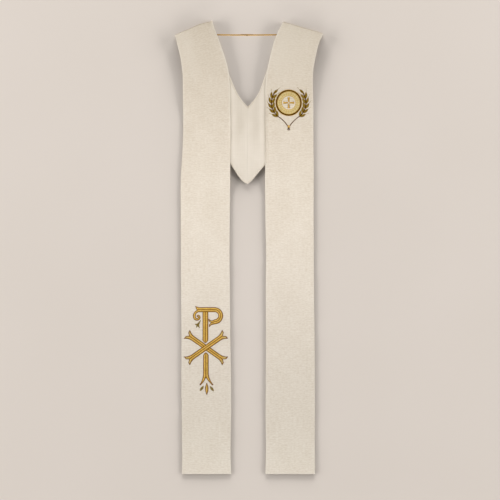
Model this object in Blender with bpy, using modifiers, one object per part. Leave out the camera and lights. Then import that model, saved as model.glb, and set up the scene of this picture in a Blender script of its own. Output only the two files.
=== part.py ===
"""Clerical stole laid flat: two embroidered fronts folded at the shoulders over a short V-shaped back.

Units are metres and +Z is up. The stole lies on the plane z = 0 with its hems towards -Y and its
shoulder folds towards +Y. The origin is the middle of its footprint. Each band is one strip of cloth
that runs from its hem over the shoulder fold to the centre-back seam, so a front lies on its own back.
"""
import math

import bmesh
import bpy
from mathutils import Vector
from mathutils.bvhtree import BVHTree

MM = 0.001

# Cloth
WALL = 1.6 * MM                 # face cloth, interlining and lining, pressed together
LINING_WALL = 1.0 * MM          # lining layer where it shows on the back
SEAM_GAP = 0.3 * MM             # between pieces that are sewn to, or lie on, each other
LINING_INSET = 5 * MM           # turned-in edge of face cloth beside the lining
SEAM_X = -3.8 * MM              # centre-back seam

# Heights of the folded layers
LIFT = WALL + LINING_WALL + 2 * SEAM_GAP   # a front above the floor where the back is under it
ROLL_RISE = 2.0 * MM            # softness of the shoulder fold above the flat stack
ROLL_REACH = 95 * MM            # how far down the front that softness shows
STEP_MARGIN = 2 * MM            # the front stays up this far past the edge of the back
STEP_DOWN = 60 * MM             # and comes down to the floor over this width
FOLD_RADIUS = (LIFT + ROLL_RISE) / 2

# Grid of a band
ACROSS = 9                      # cells from the neck-side edge to the outer edge
SHAPED_STEP = 14 * MM           # row spacing where the band is shaped
PLAIN_STEP = 55 * MM            # row spacing where it runs straight
SHAPED_FROM_Y = 150 * MM
LOOP_STEPS = 8

# Sections of each front, in mm, from the hem to the shoulder fold:
# neck-side edge x, y, then outer edge x, y. The last row is the fold's outermost line.
LEFT_FRONT = (
    (-51.5, -650.5, -192.0, -650.5),
    (-53.0, -582.0, -191.5, -582.0),
    (-51.5, -496.0, -192.5, -496.0),
    (-51.5, -410.0, -193.5, -410.0),
    (-53.5, -266.0, -193.5, -266.0),
    (-54.8, -123.0, -194.5, -123.0),
    (-55.8, -8.0, -195.0, -8.0),
    (-55.0, 107.0, -195.5, 107.0),
    (-54.0, 193.0, -195.5, 193.0),
    (-53.0, 279.0, -190.5, 279.0),
    (-52.5, 342.0, -188.5, 342.0),
    (-53.5, 400.0, -189.0, 388.0),
    (-55.0, 468.5, -189.5, 457.0),
    (-58.5, 503.0, -190.0, 486.0),
    (-66.8, 537.5, -191.7, 509.0),
    (-76.3, 566.0, -194.7, 533.0),
    (-86.4, 595.0, -198.7, 554.5),
    (-97.0, 623.5, -205.3, 580.5),
    (-106.5, 650.5, -213.0, 608.5),
)
RIGHT_FRONT = (
    (47.5, -650.5, 189.5, -650.5),
    (49.0, -582.0, 188.8, -582.0),
    (48.0, -496.0, 189.0, -496.0),
    (48.5, -381.0, 189.0, -381.0),
    (49.0, -266.0, 188.3, -266.0),
    (48.5, -123.0, 186.5, -123.0),
    (49.0, -8.0, 186.0, -8.0),
    (47.0, 107.0, 185.5, 107.0),
    (46.3, 216.0, 186.0, 216.0),
    (48.0, 308.0, 185.0, 308.0),
    (47.3, 354.0, 185.0, 354.0),
    (47.5, 411.0, 184.5, 405.5),
    (47.2, 463.0, 183.3, 457.0),
    (50.0, 495.0, 183.3, 486.0),
    (58.5, 537.5, 185.5, 517.5),
    (65.7, 566.0, 190.0, 540.5),
    (73.8, 595.0, 196.3, 569.0),
    (84.6, 620.5, 203.8, 593.5),
    (97.5, 647.0, 213.0, 613.0),
)

# Sections of each half of the back, in mm, after the fold: neck edge x, y, then outer edge x, y.
# The last row is the centre-back seam; its x is SEAM_X.
LEFT_BACK = (
    (-98.6, 615.0, -199.0, 569.0),
    (-85.6, 577.5, -181.0, 517.5),
    (-72.5, 541.5, -160.5, 460.0),
    (-60.5, 506.0, -139.0, 402.5),
    (-47.5, 473.0, -114.5, 345.0),
    (-34.8, 444.5, -86.0, 289.0),
    (-19.8, 421.5, -52.0, 238.5),
    (-11.0, 411.5, -26.0, 199.0),
    (-7.5, 407.5, -16.5, 188.5),
    (None, 403.5, None, 181.5),
)
RIGHT_BACK = (
    (84.5, 615.0, 194.0, 572.0),
    (70.3, 577.5, 175.0, 520.0),
    (61.0, 541.5, 153.5, 460.0),
    (51.5, 508.5, 130.5, 402.5),
    (39.4, 473.0, 105.0, 345.0),
    (28.5, 444.5, 77.5, 290.5),
    (13.3, 421.5, 45.5, 236.5),
    (5.5, 412.0, 21.0, 207.0),
    (1.0, 407.5, 7.5, 191.0),
    (None, 403.5, None, 181.5),
)

# Neck cord
CORD_DIAMETER = 4 * MM
CORD_Y = 609.5 * MM
CORD_LEFT_X = -95.9 * MM
CORD_RIGHT_X = 81.2 * MM
CORD_Z = CORD_DIAMETER / 2 + 0.1 * MM
KNOT_X = -5.6 * MM
KNOT_LENGTH = 7 * MM
KNOT_DIAMETER = 5.6 * MM

# Chi-rho, in mm from the crossing of its two arms
CHI_RHO_CENTRE = Vector((-123.5 * MM, -289 * MM))
EMBROIDERY_WALL = 1.0 * MM
ARM_ANGLE = math.radians(35)
ARM_REACH = 66 * MM             # from the crossing to the line through an end's two tips
ARM_WIDTH = 12.5 * MM
FORK_SPREAD = 27.4 * MM
FORK_FLARE = 23 * MM
FORK_NOTCH = 8.6 * MM
FORK_BULGE = 0.4                # of the curved side between a tip and the notch, in notch depths
STEM_WIDTH = 17 * MM
STEM_X = -1.2 * MM
STEM_TOP = 103.9 * MM
STEM_FOOT = 15.5 * MM
STEM_POINT = 7 * MM             # height of a stem's pointed end
FOOT_WIDTH = 16 * MM
FOOT_X = 0.4 * MM
FOOT_TOP = -13.5 * MM
FOOT_CROTCH = -86 * MM
BAR_Y = 110.2 * MM
BAR_WIDTH = 12 * MM
BOWL_CENTRE = Vector((24.7 * MM, 92.8 * MM))
BOWL_END = Vector((8.0 * MM, 72 * MM))
BOWL_FORK_SPREAD = 21 * MM
BOWL_FORK_NOTCH = 5.5 * MM
BAR_UPPER_TIP = Vector((-30 * MM, 119.5 * MM))
BAR_NOTCH = Vector((-25.5 * MM, 108.5 * MM))
HOOK_CENTRE = Vector((-25.3 * MM, 89.8 * MM))
# Hook under the bar: angle in degrees, inner and outer radius in mm.
HOOK = (
    (75, 14.6, 17.5),
    (110, 9.8, 16.0),
    (140, 6.8, 13.0),
    (180, 5.4, 11.0),
    (220, 5.3, 10.8),
    (260, 5.2, 10.3),
    (300, 4.8, 9.8),
    (340, 4.2, 9.2),
    (380, 2.6, 7.6),
    (405, 2.2, 5.4),
)
HOOK_FREE = 3                   # first point of the hook's outer side that is clear of the bar
# Leg of the foot, in mm from the foot's axis: outer edge x, inner edge x, y.
FOOT_LEG = (
    (8.0, 0.0, -76.0),
    (9.4, 0.6, -84.5),
    (12.0, 4.6, -93.5),
    (15.4, 10.6, -100.5),
    (18.8, 17.0, -106.0),
)
# Leaf beside the stem: tip angle in degrees, tip radius in mm, from the leaf's heart.
LEAF_HEART = Vector((-23.4 * MM, 66.1 * MM))
LEAF_TIPS = ((59, 16.0), (173, 8.4), (241, 8.8), (302, 10.6))
LEAF_VALLEY = 2.8 * MM
# Drops under the foot: x, y of the upper and of the lower tip, and width, in mm.
DROPS = (
    ("drop_middle", (1.7, -101.6), (1.7, -133.5), 9.2),
    ("drop_left", (-6.9, -109.6), (-17.2, -123.2), 4.8),
    ("drop_right", (11.6, -110.2), (21.8, -124.0), 4.8),
)

# Roundel of host, ring and wheat on the right front
ROUNDEL_CENTRE = Vector((114 * MM, 414 * MM))
MOTIF_WALL = 0.8 * MM
GROUND_RADIUS = 32 * MM
RING_RADIUS = 35 * MM
RING_WIDTH = 5 * MM
HOST_RADIUS = 20 * MM
CROSS_REACH = 13 * MM
CROSS_WIDTH = 4.4 * MM
CROSS_FLARE = 7.6 * MM
STALK_RADIUS = 49.5 * MM          # of the curve that both stalks follow round the ring
STALK_WIDTH = 2.6 * MM
GRAIN_PAIRS = 5
GRAIN_LENGTH = 17.5 * MM
GRAIN_WIDTH = 6.2 * MM
GRAIN_OFFSET = 5.0 * MM         # from the stalk's curve to a grain's middle
GRAIN_TILT = math.radians(22)
EAR_START = math.radians(-42)   # lowest pair of grains, from the horizontal through the ring
EAR_STEP = math.radians(16.5)
TIE_Y = -67 * MM                # where the stalks are tied, below the ring's centre


def smooth(share):
    """Ease from 0 to 1 with level ends."""
    t = min(max(share, 0.0), 1.0)
    return t * t * (3 - 2 * t)


def make_material(name, colour, roughness, metallic=0.0):
    """Make a Principled material with linear colour."""
    material = bpy.data.materials.new(name)
    material.use_nodes = True
    shader = material.node_tree.nodes["Principled BSDF"]
    shader.inputs["Base Color"].default_value = (*colour, 1.0)
    shader.inputs["Roughness"].default_value = roughness
    shader.inputs["Metallic"].default_value = metallic
    return material


def sections_in_metres(table, seam_x=None):
    """Turn a table of sections into 4D vectors: inner x, inner y, outer x, outer y."""
    rows = []
    for inner_x, inner_y, outer_x, outer_y in table:
        if inner_x is None:
            rows.append(Vector((seam_x, inner_y * MM, seam_x, outer_y * MM)))
        else:
            rows.append(Vector((inner_x, inner_y, outer_x, outer_y)) * MM)
    return rows


def section_distance(a, b):
    """Mean distance between the edges of two sections."""
    step = b - a
    return (math.hypot(step[0], step[1]) + math.hypot(step[2], step[3])) / 2


def smooth_sections(sections):
    """Run a smooth curve through the sections, with close rows where the band is shaped."""
    gaps = [section_distance(a, b) for a, b in zip(sections, sections[1:])]
    slopes = [(b - a) / gap for a, b, gap in zip(sections, sections[1:], gaps)]
    tangents = [slopes[0]]
    for i in range(1, len(sections) - 1):
        before, after = gaps[i - 1], gaps[i]
        tangents.append((slopes[i - 1] * after + slopes[i] * before) / (before + after))
    tangents.append(slopes[-1])
    rows = [sections[0]]
    for i, gap in enumerate(gaps):
        shaped = max(sections[i][1], sections[i + 1][1]) > SHAPED_FROM_Y
        steps = max(1, round(gap / (SHAPED_STEP if shaped else PLAIN_STEP)))
        for k in range(1, steps + 1):
            t = k / steps
            rows.append(
                sections[i] * (1 - smooth(t)) + sections[i + 1] * smooth(t)
                + tangents[i] * (gap * t * (1 - t) ** 2)
                - tangents[i + 1] * (gap * t * t * (1 - t))
            )
    return rows


def section_point(section, share):
    """Point of a section, from its inner edge (0) to its outer edge (1)."""
    inner = Vector((section[0], section[1]))
    outer = Vector((section[2], section[3]))
    return inner.lerp(outer, share)


class Band:
    """One side of the stole, from its hem over the shoulder fold to the centre-back seam."""

    def __init__(self, side, front_table, back_table, seam_x):
        self.side = side
        front = sections_in_metres(front_table)
        fold = front[-1]
        along = Vector((fold[2] - fold[0], fold[3] - fold[1])).normalized()
        outward = Vector((along.y, -along.x))
        self.outward = outward if outward.y > 0 else -outward
        setback = self.outward * (FOLD_RADIUS + WALL / 2)
        self.fold = fold - Vector((*setback, *setback))
        self.front_sections = smooth_sections(front[:-1] + [self.fold])
        self.back_sections = smooth_sections([self.fold] + sections_in_metres(back_table, seam_x))
        self.back_edge = [section_point(section, 1) for section in self.back_sections]
        beyond = self.back_edge[0] + (self.back_edge[0] - self.back_edge[1]).normalized() * 3 * STEP_DOWN
        self.back_edge.insert(0, beyond)
        self.turn = 1 if fold[0] < 0 else -1

    def outside_back(self, point):
        """Signed distance from the back's outer edge, positive where the floor is under the front."""
        best, signed = None, 0.0
        for a, b in zip(self.back_edge, self.back_edge[1:]):
            run = b - a
            share = min(max((point - a).dot(run) / run.length_squared, 0.0), 1.0)
            away = point - (a + run * share)
            if best is None or away.length < best:
                best = away.length
                signed = best * (1 if run.cross(away) * self.turn < 0 else -1)
        return signed

    def front_height(self, point):
        """Height of the front's middle layer, on the back, down its edge and on the floor."""
        down = smooth((self.outside_back(point) - STEP_MARGIN) / STEP_DOWN)
        from_fold = (Vector((self.fold[0], self.fold[1])) - point).dot(self.outward)
        roll = ROLL_RISE * (1 - smooth(from_fold / ROLL_REACH))
        return WALL / 2 + (LIFT + roll) * (1 - down)

    def rows(self):
        """Rows of points of the band's middle layer, hem first."""
        shares = [k / ACROSS for k in range(ACROSS + 1)]
        rows = []
        for section in self.front_sections:
            points = [section_point(section, share) for share in shares]
            rows.append([(p.x, p.y, self.front_height(p)) for p in points])
        fold_points = [section_point(self.fold, share) for share in shares]
        for k in range(1, LOOP_STEPS):
            angle = math.pi * k / LOOP_STEPS
            out = self.outward * FOLD_RADIUS * math.sin(angle)
            z = WALL / 2 + FOLD_RADIUS * (1 + math.cos(angle))
            rows.append([(p.x + out.x, p.y + out.y, z) for p in fold_points])
        for section in self.back_sections:
            points = [section_point(section, share) for share in shares]
            rows.append([(p.x, p.y, WALL / 2) for p in points])
        return rows

    def lining_rows(self):
        """Rows of the lining's middle layer, the back's own points moved up and in from its edges."""
        z = WALL + SEAM_GAP + LINING_WALL / 2
        rows = []
        for section in self.back_sections:
            width = (section_point(section, 1) - section_point(section, 0)).length
            inset = LINING_INSET / width
            shares = [inset + (1 - 2 * inset) * k / ACROSS for k in range(ACROSS + 1)]
            points = [section_point(section, share) for share in shares]
            rows.append([(p.x, p.y, z) for p in points])
        return rows


def link(name, data, collection, material):
    """Make an object for a mesh or curve, with its material, in the collection."""
    piece = bpy.data.objects.new(name, data)
    data.materials.append(material)
    collection.objects.link(piece)
    return piece


def make_sheet(name, rows, thickness, offset, collection, material, closed=False):
    """Join rows of points into an open surface and give it its thickness."""
    bm = bmesh.new()
    grid = [[bm.verts.new(point) for point in row] for row in rows]
    if closed:
        grid.append(grid[0])
    for lower, upper in zip(grid, grid[1:]):
        for k in range(len(lower) - 1):
            bm.faces.new((lower[k], lower[k + 1], upper[k + 1], upper[k]))
    return finish_sheet(name, bm, thickness, offset, collection, material)


def finish_sheet(name, bm, thickness, offset, collection, material):
    """Face a surface upwards at its first face, store it and add its Solidify."""
    bmesh.ops.recalc_face_normals(bm, faces=bm.faces[:])
    bm.faces.ensure_lookup_table()
    if bm.faces[0].normal.z < 0:
        bmesh.ops.reverse_faces(bm, faces=bm.faces[:])
    mesh = bpy.data.meshes.new(name)
    bm.to_mesh(mesh)
    bm.free()
    mesh.shade_smooth()
    piece = link(name, mesh, collection, material)
    solidify = piece.modifiers.new("thickness", "SOLIDIFY")
    solidify.thickness = thickness
    solidify.offset = offset
    solidify.use_even_offset = True
    return piece


def make_tube(name, start, end, diameter, spacing, collection, material):
    """Make a straight cord with filled caps."""
    curve = bpy.data.curves.new(name, "CURVE")
    curve.dimensions = "3D"
    curve.bevel_depth = diameter / 2
    curve.bevel_resolution = 2
    curve.use_fill_caps = True
    count = max(2, round((end - start).length / spacing) + 1)
    spline = curve.splines.new("POLY")
    spline.points.add(count - 1)
    for k, point in enumerate(spline.points):
        point.co = (*start.lerp(end, k / (count - 1)), 1.0)
    return link(name, curve, collection, material)


def make_outline(name, outline, bottom, thickness, collection, material):
    """Fill a flat outline and give it a thickness above its bottom height."""
    curve = bpy.data.curves.new(name, "CURVE")
    curve.dimensions = "2D"
    curve.fill_mode = "BOTH"
    curve.extrude = thickness / 2
    spline = curve.splines.new("POLY")
    spline.points.add(len(outline) - 1)
    for point, place in zip(spline.points, outline):
        point.co = (place.x, place.y, 0.0, 1.0)
    spline.use_cyclic_u = True
    piece = link(name, curve, collection, material)
    piece.location.z = bottom + thickness / 2
    return piece


def direction(angle):
    """Unit vector in the plan at an angle from +X."""
    return Vector((math.cos(angle), math.sin(angle)))


def left_of(vector):
    """The vector turned a quarter turn to the left."""
    return Vector((-vector.y, vector.x))


def forked_end(tip_middle, heading, width, spread, flare, notch):
    """Points round a fishtail end, from its right side to its left side, looking along heading."""
    side = left_of(heading)
    flare_steps = 5
    right, left = [], []
    for k in range(flare_steps + 1):
        share = k / flare_steps
        half = width / 2 + (spread - width) / 2 * share ** 2.4
        place = tip_middle - heading * (flare * (1 - share))
        right.append(place - side * half)
        left.append(place + side * half)
    bulge = tip_middle - heading * (notch * (0.45 - FORK_BULGE))
    inside = [bulge - side * spread * 0.24, tip_middle - heading * notch, bulge + side * spread * 0.24]
    return right + inside + left[::-1]


def arm_outline(angle):
    """Whole arm of the chi, with a fishtail at each end."""
    outline = []
    for heading in (direction(angle), -direction(angle)):
        tip = heading * ARM_REACH
        outline += forked_end(tip, heading, ARM_WIDTH, FORK_SPREAD, FORK_FLARE, FORK_NOTCH)
    return outline


def half_arm_outline(angle, over_angle):
    """Half of the arm that passes under, cut along the edge of the arm on top."""
    heading = direction(angle)
    side = left_of(heading)
    over_side = left_of(direction(over_angle))
    if over_side.dot(heading) < 0:
        over_side = -over_side
    reach = ARM_WIDTH / 2 + SEAM_GAP
    starts = []
    for half in (ARM_WIDTH / 2, -ARM_WIDTH / 2):
        distance = (reach - (side * half).dot(over_side)) / heading.dot(over_side)
        starts.append(heading * distance + side * half)
    tip = heading * ARM_REACH
    return starts + forked_end(tip, heading, ARM_WIDTH, FORK_SPREAD, FORK_FLARE, FORK_NOTCH)


def stem_outline():
    """Upper stem of the rho, square under the bar and pointed above the crossing."""
    half = STEM_WIDTH / 2
    shoulder = STEM_FOOT + STEM_POINT
    return [
        Vector((STEM_X - half, STEM_TOP)),
        Vector((STEM_X - half, shoulder)),
        Vector((STEM_X - half * 0.5, STEM_FOOT + STEM_POINT * 0.28)),
        Vector((STEM_X, STEM_FOOT)),
        Vector((STEM_X + half * 0.5, STEM_FOOT + STEM_POINT * 0.28)),
        Vector((STEM_X + half, shoulder)),
        Vector((STEM_X + half, STEM_TOP)),
    ]


def foot_outline():
    """Lower stem, pointed at the top and split into two curved legs."""
    half = FOOT_WIDTH / 2
    shoulder = FOOT_TOP - STEM_POINT
    right = [Vector((half * 0.5, FOOT_TOP - STEM_POINT * 0.28)), Vector((half, shoulder))]
    right += [Vector((outer * MM, y * MM)) for outer, inner, y in FOOT_LEG]
    right += [Vector((inner * MM, y * MM)) for outer, inner, y in FOOT_LEG[:1:-1]]
    left = [Vector((-p.x, p.y)) for p in right[::-1]]
    outline = [Vector((0, FOOT_TOP))] + right + [Vector((0, FOOT_CROTCH))] + left
    return [p + Vector((FOOT_X, 0)) for p in outline]


def rho_outline():
    """Bar and bowl of the rho in one stroke, with the hook under its left end."""
    half = BAR_WIDTH / 2
    radius = BAR_Y - BOWL_CENTRE.y
    outer, inner = [], []
    for k in range(13):
        spoke = direction(math.radians(90 - 15 * k))
        outer.append(BOWL_CENTRE + spoke * (radius + half))
        inner.append(BOWL_CENTRE + spoke * (radius - half))
    heading = Vector((-1, 0))
    fork = forked_end(BOWL_END, heading, BAR_WIDTH * 0.9, BOWL_FORK_SPREAD, 9 * MM, BOWL_FORK_NOTCH)
    hook_outer, hook_inner = [], []
    for start, end in zip(HOOK, HOOK[1:] + HOOK[-1:]):
        for share in (0, 1 / 3, 2 / 3) if start != end else (0,):
            angle, inner_radius, outer_radius = Vector(start).lerp(Vector(end), share)
            spoke = direction(math.radians(angle))
            hook_outer.append(HOOK_CENTRE + spoke * outer_radius * MM)
            hook_inner.append(HOOK_CENTRE + spoke * inner_radius * MM)
    bar_top = [Vector((-21 * MM, BAR_Y + half))]
    stroke = bar_top + outer + fork[::-1] + inner[::-1]
    return stroke + hook_inner + hook_outer[:HOOK_FREE - 1:-1] + [BAR_NOTCH, BAR_UPPER_TIP]


def drop_outline(upper, lower, width):
    """Leaf shape with a point at each end."""
    upper, lower = Vector(upper) * MM, Vector(lower) * MM
    side = left_of((lower - upper).normalized()) * width * MM / 2
    shares = [k / 6 for k in range(1, 6)]
    one = [upper.lerp(lower, t) + side * math.sin(math.pi * t) for t in shares]
    other = [upper.lerp(lower, t) - side * math.sin(math.pi * t) for t in shares]
    return [upper] + one + [lower] + other[::-1]


def leaf_outline():
    """Small leaf of four points on a short stalk."""
    outline = []
    for k, (angle, radius) in enumerate(LEAF_TIPS):
        following = LEAF_TIPS[(k + 1) % len(LEAF_TIPS)][0]
        span = (following - angle) % 360
        outline.append(LEAF_HEART + direction(math.radians(angle)) * radius * MM)
        outline.append(LEAF_HEART + direction(math.radians(angle + span / 2)) * LEAF_VALLEY)
    return outline


def make_chi_rho(collection, material):
    """Lay the chi-rho on the flat lower part of the left front."""
    over, under = ARM_ANGLE, math.pi - ARM_ANGLE
    outlines = {
        "chi_arm_over": arm_outline(over),
        "chi_arm_under_upper": half_arm_outline(under, over),
        "chi_arm_under_lower": half_arm_outline(under - math.pi, over),
        "rho_stem": stem_outline(),
        "rho_stroke": rho_outline(),
        "foot_stem": foot_outline(),
        "leaf": leaf_outline(),
    }
    for name, upper, lower, width in DROPS:
        outlines[name] = drop_outline(upper, lower, width)
    for name, outline in outlines.items():
        placed = [CHI_RHO_CENTRE + point for point in outline]
        make_outline(name, placed, WALL + SEAM_GAP, EMBROIDERY_WALL, collection, material)


class Roundel:
    """Round ornament that is laid on the right front and follows its rise and fall."""

    def __init__(self, panel, collection, materials):
        self.tree = BVHTree.FromObject(panel, bpy.context.evaluated_depsgraph_get())
        self.collection = collection
        self.materials = materials

    def laid(self, plan, level):
        """Put a point of the plan on the panel, or on the pieces that already lie there."""
        place = ROUNDEL_CENTRE + plan
        hit = self.tree.ray_cast(Vector((place.x, place.y, 0.1)), Vector((0, 0, -1)))[0]
        return (place.x, place.y, hit.z + SEAM_GAP + level * (MOTIF_WALL + SEAM_GAP))

    def strip(self, name, rows, material, level=0, closed=False):
        """Lay rows of plan points as one thin piece."""
        laid_rows = [[self.laid(point, level) for point in row] for row in rows]
        finish = self.materials[material]
        return make_sheet(name, laid_rows, MOTIF_WALL, 1.0, self.collection, finish, closed)

    def disc(self, name, radius, rings, sides, material, level):
        """Lay a round piece made of rings about a middle point."""
        bm = bmesh.new()
        middle = bm.verts.new(self.laid(Vector((0, 0)), level))
        circles = []
        for ring in range(1, rings + 1):
            spokes = [direction(math.tau * k / sides) * (radius * ring / rings) for k in range(sides)]
            circles.append([bm.verts.new(self.laid(spoke, level)) for spoke in spokes])
        for k in range(sides):
            bm.faces.new((middle, circles[0][k], circles[0][(k + 1) % sides]))
            for inside, outside in zip(circles, circles[1:]):
                bm.faces.new((inside[k], outside[k], outside[(k + 1) % sides], inside[(k + 1) % sides]))
        return finish_sheet(name, bm, MOTIF_WALL, 1.0, self.collection, self.materials[material])

    def ring(self):
        """Ring round the ground."""
        sides = 40
        rows = []
        for k in range(sides):
            spoke = direction(math.tau * k / sides)
            rows.append([spoke * (RING_RADIUS - RING_WIDTH / 2), spoke * (RING_RADIUS + RING_WIDTH / 2)])
        self.strip("roundel_ring", rows, "brown thread", closed=True)

    def cross(self):
        """Four short flared arms on the host, each a piece of its own."""
        for k in range(4):
            heading = direction(math.pi / 2 * k)
            side = left_of(heading)
            rows = []
            for share in (0.0, 0.5, 1.0):
                place = heading * (CROSS_WIDTH / 2 + SEAM_GAP + CROSS_REACH * share)
                half = side * (CROSS_WIDTH + (CROSS_FLARE - CROSS_WIDTH) * share ** 2) / 2
                rows.append([place - half, place + half])
            self.strip(f"host_cross_arm_{k + 1}", rows, "gold thread", level=2)

    def grain(self, name, middle, angle):
        """One grain of wheat, a leaf shape with blunt tips."""
        heading = direction(angle)
        side = left_of(heading)
        rows = []
        for k in range(7):
            share = k / 6
            half = side * GRAIN_WIDTH / 2 * max(math.sin(math.pi * share) ** 0.8, 0.12)
            place = middle + heading * GRAIN_LENGTH * (share - 0.5)
            rows.append([place - half, place, place + half])
        self.strip(name, rows, "olive thread")

    def ear(self, side_name, mirror):
        """One stalk and its grains, on the right for mirror = 1 and on the left for mirror = -1."""
        number = 0
        for pair in range(GRAIN_PAIRS + 1):
            around = EAR_START + EAR_STEP * pair
            tangent = around + math.pi / 2
            spoke = direction(around)
            places = ((1, -GRAIN_TILT), (-1, GRAIN_TILT)) if pair < GRAIN_PAIRS else ((0, 0.12),)
            for outside, tilt in places:
                number += 1
                middle = spoke * (STALK_RADIUS + outside * GRAIN_OFFSET)
                heading = direction(tangent + tilt)
                middle = Vector((middle.x * mirror, middle.y))
                angle = math.atan2(heading.y, heading.x * mirror)
                self.grain(f"grain_{side_name}_{number:02d}", middle, angle)
        self.stalk(side_name, mirror)

    def stalk(self, side_name, mirror):
        """Stalk from under the tie up to the lowest grains."""
        top = direction(EAR_START - math.radians(14)) * STALK_RADIUS
        start = Vector((5 * MM, TIE_Y + 2.5 * MM))
        bend = Vector((22 * MM, -52 * MM))
        rows = []
        for k in range(7):
            t = k / 6
            place = start * (1 - t) ** 2 + bend * 2 * t * (1 - t) + top * t * t
            heading = ((bend - start) * (1 - t) + (top - bend) * t).normalized()
            half = left_of(heading) * STALK_WIDTH / 2
            rows.append([place - half, place + half])
        rows = [[Vector((p.x * mirror, p.y)) for p in row] for row in rows]
        self.strip(f"stalk_{side_name}", rows, "brown thread")

    def tie(self):
        """Band that ties the two stalks, with a short tail below."""
        rows = []
        for y, half in ((-12, 1.2), (-6, 2.6), (-1.5, 4.2), (1.5, 4.2)):
            rows.append([Vector((-half * MM, TIE_Y + y * MM)), Vector((half * MM, TIE_Y + y * MM))])
        self.strip("wheat_tie", rows, "gold thread")

    def make(self):
        """Lay all the pieces, from the ground up."""
        self.disc("roundel_ground", GROUND_RADIUS, 4, 32, "pale gold thread", 0)
        self.ring()
        self.disc("host", HOST_RADIUS, 3, 28, "ivory thread", 1)
        self.cross()
        self.ear("right", 1)
        self.ear("left", -1)
        self.tie()


def make_neck_cord(collection, material):
    """Lay the cord between the two neck edges, tied in the middle."""
    half_knot = KNOT_LENGTH / 2
    spans = (
        ("neck_cord_left", CORD_LEFT_X, KNOT_X - half_knot - SEAM_GAP, CORD_DIAMETER, CORD_Z),
        ("neck_cord_right", KNOT_X + half_knot + SEAM_GAP, CORD_RIGHT_X, CORD_DIAMETER, CORD_Z),
        ("cord_knot", KNOT_X - half_knot, KNOT_X + half_knot, KNOT_DIAMETER, KNOT_DIAMETER / 2 + 0.1 * MM),
    )
    for name, start_x, end_x, diameter, z in spans:
        start, end = Vector((start_x, CORD_Y, z)), Vector((end_x, CORD_Y, z))
        make_tube(name, start, end, diameter, 3 * CORD_DIAMETER, collection, material)


def clear_scene():
    """Remove whatever the file opened with."""
    for piece in list(bpy.data.objects):
        bpy.data.objects.remove(piece, do_unlink=True)


def main():
    """Build the stole."""
    clear_scene()
    collection = bpy.data.collections.new("clerical_stole")
    bpy.context.scene.collection.children.link(collection)
    materials = {
        "face cloth": make_material("face cloth", (0.80, 0.72, 0.60), 0.85),
        "lining": make_material("lining", (0.78, 0.69, 0.57), 0.6),
        "gold thread": make_material("gold thread", (0.66, 0.38, 0.05), 0.42),
        "pale gold thread": make_material("pale gold thread", (0.72, 0.58, 0.32), 0.5),
        "olive thread": make_material("olive thread", (0.33, 0.22, 0.03), 0.5),
        "brown thread": make_material("brown thread", (0.14, 0.08, 0.03), 0.55),
        "ivory thread": make_material("ivory thread", (0.88, 0.83, 0.74), 0.5),
        "gold cord": make_material("gold cord", (0.55, 0.36, 0.13), 0.4),
    }
    bands = (
        Band("left", LEFT_FRONT, LEFT_BACK, SEAM_X - SEAM_GAP / 2),
        Band("right", RIGHT_FRONT, RIGHT_BACK, SEAM_X + SEAM_GAP / 2),
    )
    panels = {}
    for band in bands:
        name = f"{band.side}_band"
        cloth = materials["face cloth"]
        panels[band.side] = make_sheet(name, band.rows(), WALL, 0.0, collection, cloth)
        name = f"{band.side}_back_lining"
        make_sheet(name, band.lining_rows(), LINING_WALL, 0.0, collection, materials["lining"])
    make_chi_rho(collection, materials["gold thread"])
    Roundel(panels["right"], collection, materials).make()
    make_neck_cord(collection, materials["gold cord"])


main()
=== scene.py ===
"""Clerical stole laid flat: ribbed cream cloth, satin-stitch embroidery and a gold neck cord.

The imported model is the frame. The pieces are made in its coordinates, in metres: the hems point
towards -Y, the shoulder folds towards +Y, and the stole lies on the plane z = 0.
"""
import logging
import math
from dataclasses import dataclass, field
from enum import Enum
from functools import partial

import bmesh
import bpy
import numpy as np
from bpy.types import Material, Mesh, Node, NodeOutputs, NodeSocket, NodeTree, Object
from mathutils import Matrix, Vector


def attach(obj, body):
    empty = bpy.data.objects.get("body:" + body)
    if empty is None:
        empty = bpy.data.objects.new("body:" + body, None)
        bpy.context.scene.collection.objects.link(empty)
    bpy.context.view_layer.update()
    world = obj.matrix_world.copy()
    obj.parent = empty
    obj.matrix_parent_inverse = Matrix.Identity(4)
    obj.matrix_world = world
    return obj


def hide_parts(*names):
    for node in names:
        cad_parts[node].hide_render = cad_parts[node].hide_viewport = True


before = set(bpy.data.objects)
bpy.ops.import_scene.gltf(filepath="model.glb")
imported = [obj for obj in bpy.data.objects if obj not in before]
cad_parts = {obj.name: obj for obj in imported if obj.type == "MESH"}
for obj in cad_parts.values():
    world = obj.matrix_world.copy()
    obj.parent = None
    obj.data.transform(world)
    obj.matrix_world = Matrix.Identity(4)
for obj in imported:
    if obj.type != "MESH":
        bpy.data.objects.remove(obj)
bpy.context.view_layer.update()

MM = 0.001
BODY = "root"
MERGE = 0.001 * MM  # points closer than this are one

# Cloth layers
WALL = 1.6 * MM  # face cloth, interlining and lining, pressed together
LINING_WALL = 1.0 * MM  # lining layer where it shows on the back
SEAM_GAP = 0.3 * MM  # between layers that are sewn to, or lie on, each other
CLOSED_SEAM = 0.04 * MM  # the two halves of the back, drawn together by their stitching
LINING_INSET = 5 * MM  # turned-in edge of face cloth beside the lining
SEAM_X = -3.8 * MM  # centre-back seam

# Heights of the folded layers
LIFT = WALL + LINING_WALL + 2 * SEAM_GAP  # a front above the floor where the back is under it
ROLL_RISE = 2.0 * MM  # softness of the shoulder fold above the flat stack
ROLL_REACH = 95 * MM  # how far down the front that softness shows
STEP_MARGIN = 2 * MM  # the front stays up this far past the edge of the back
STEP_DOWN = 60 * MM  # and comes down to the floor over this width
FOLD_RADIUS = (LIFT + ROLL_RISE) / 2

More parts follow.
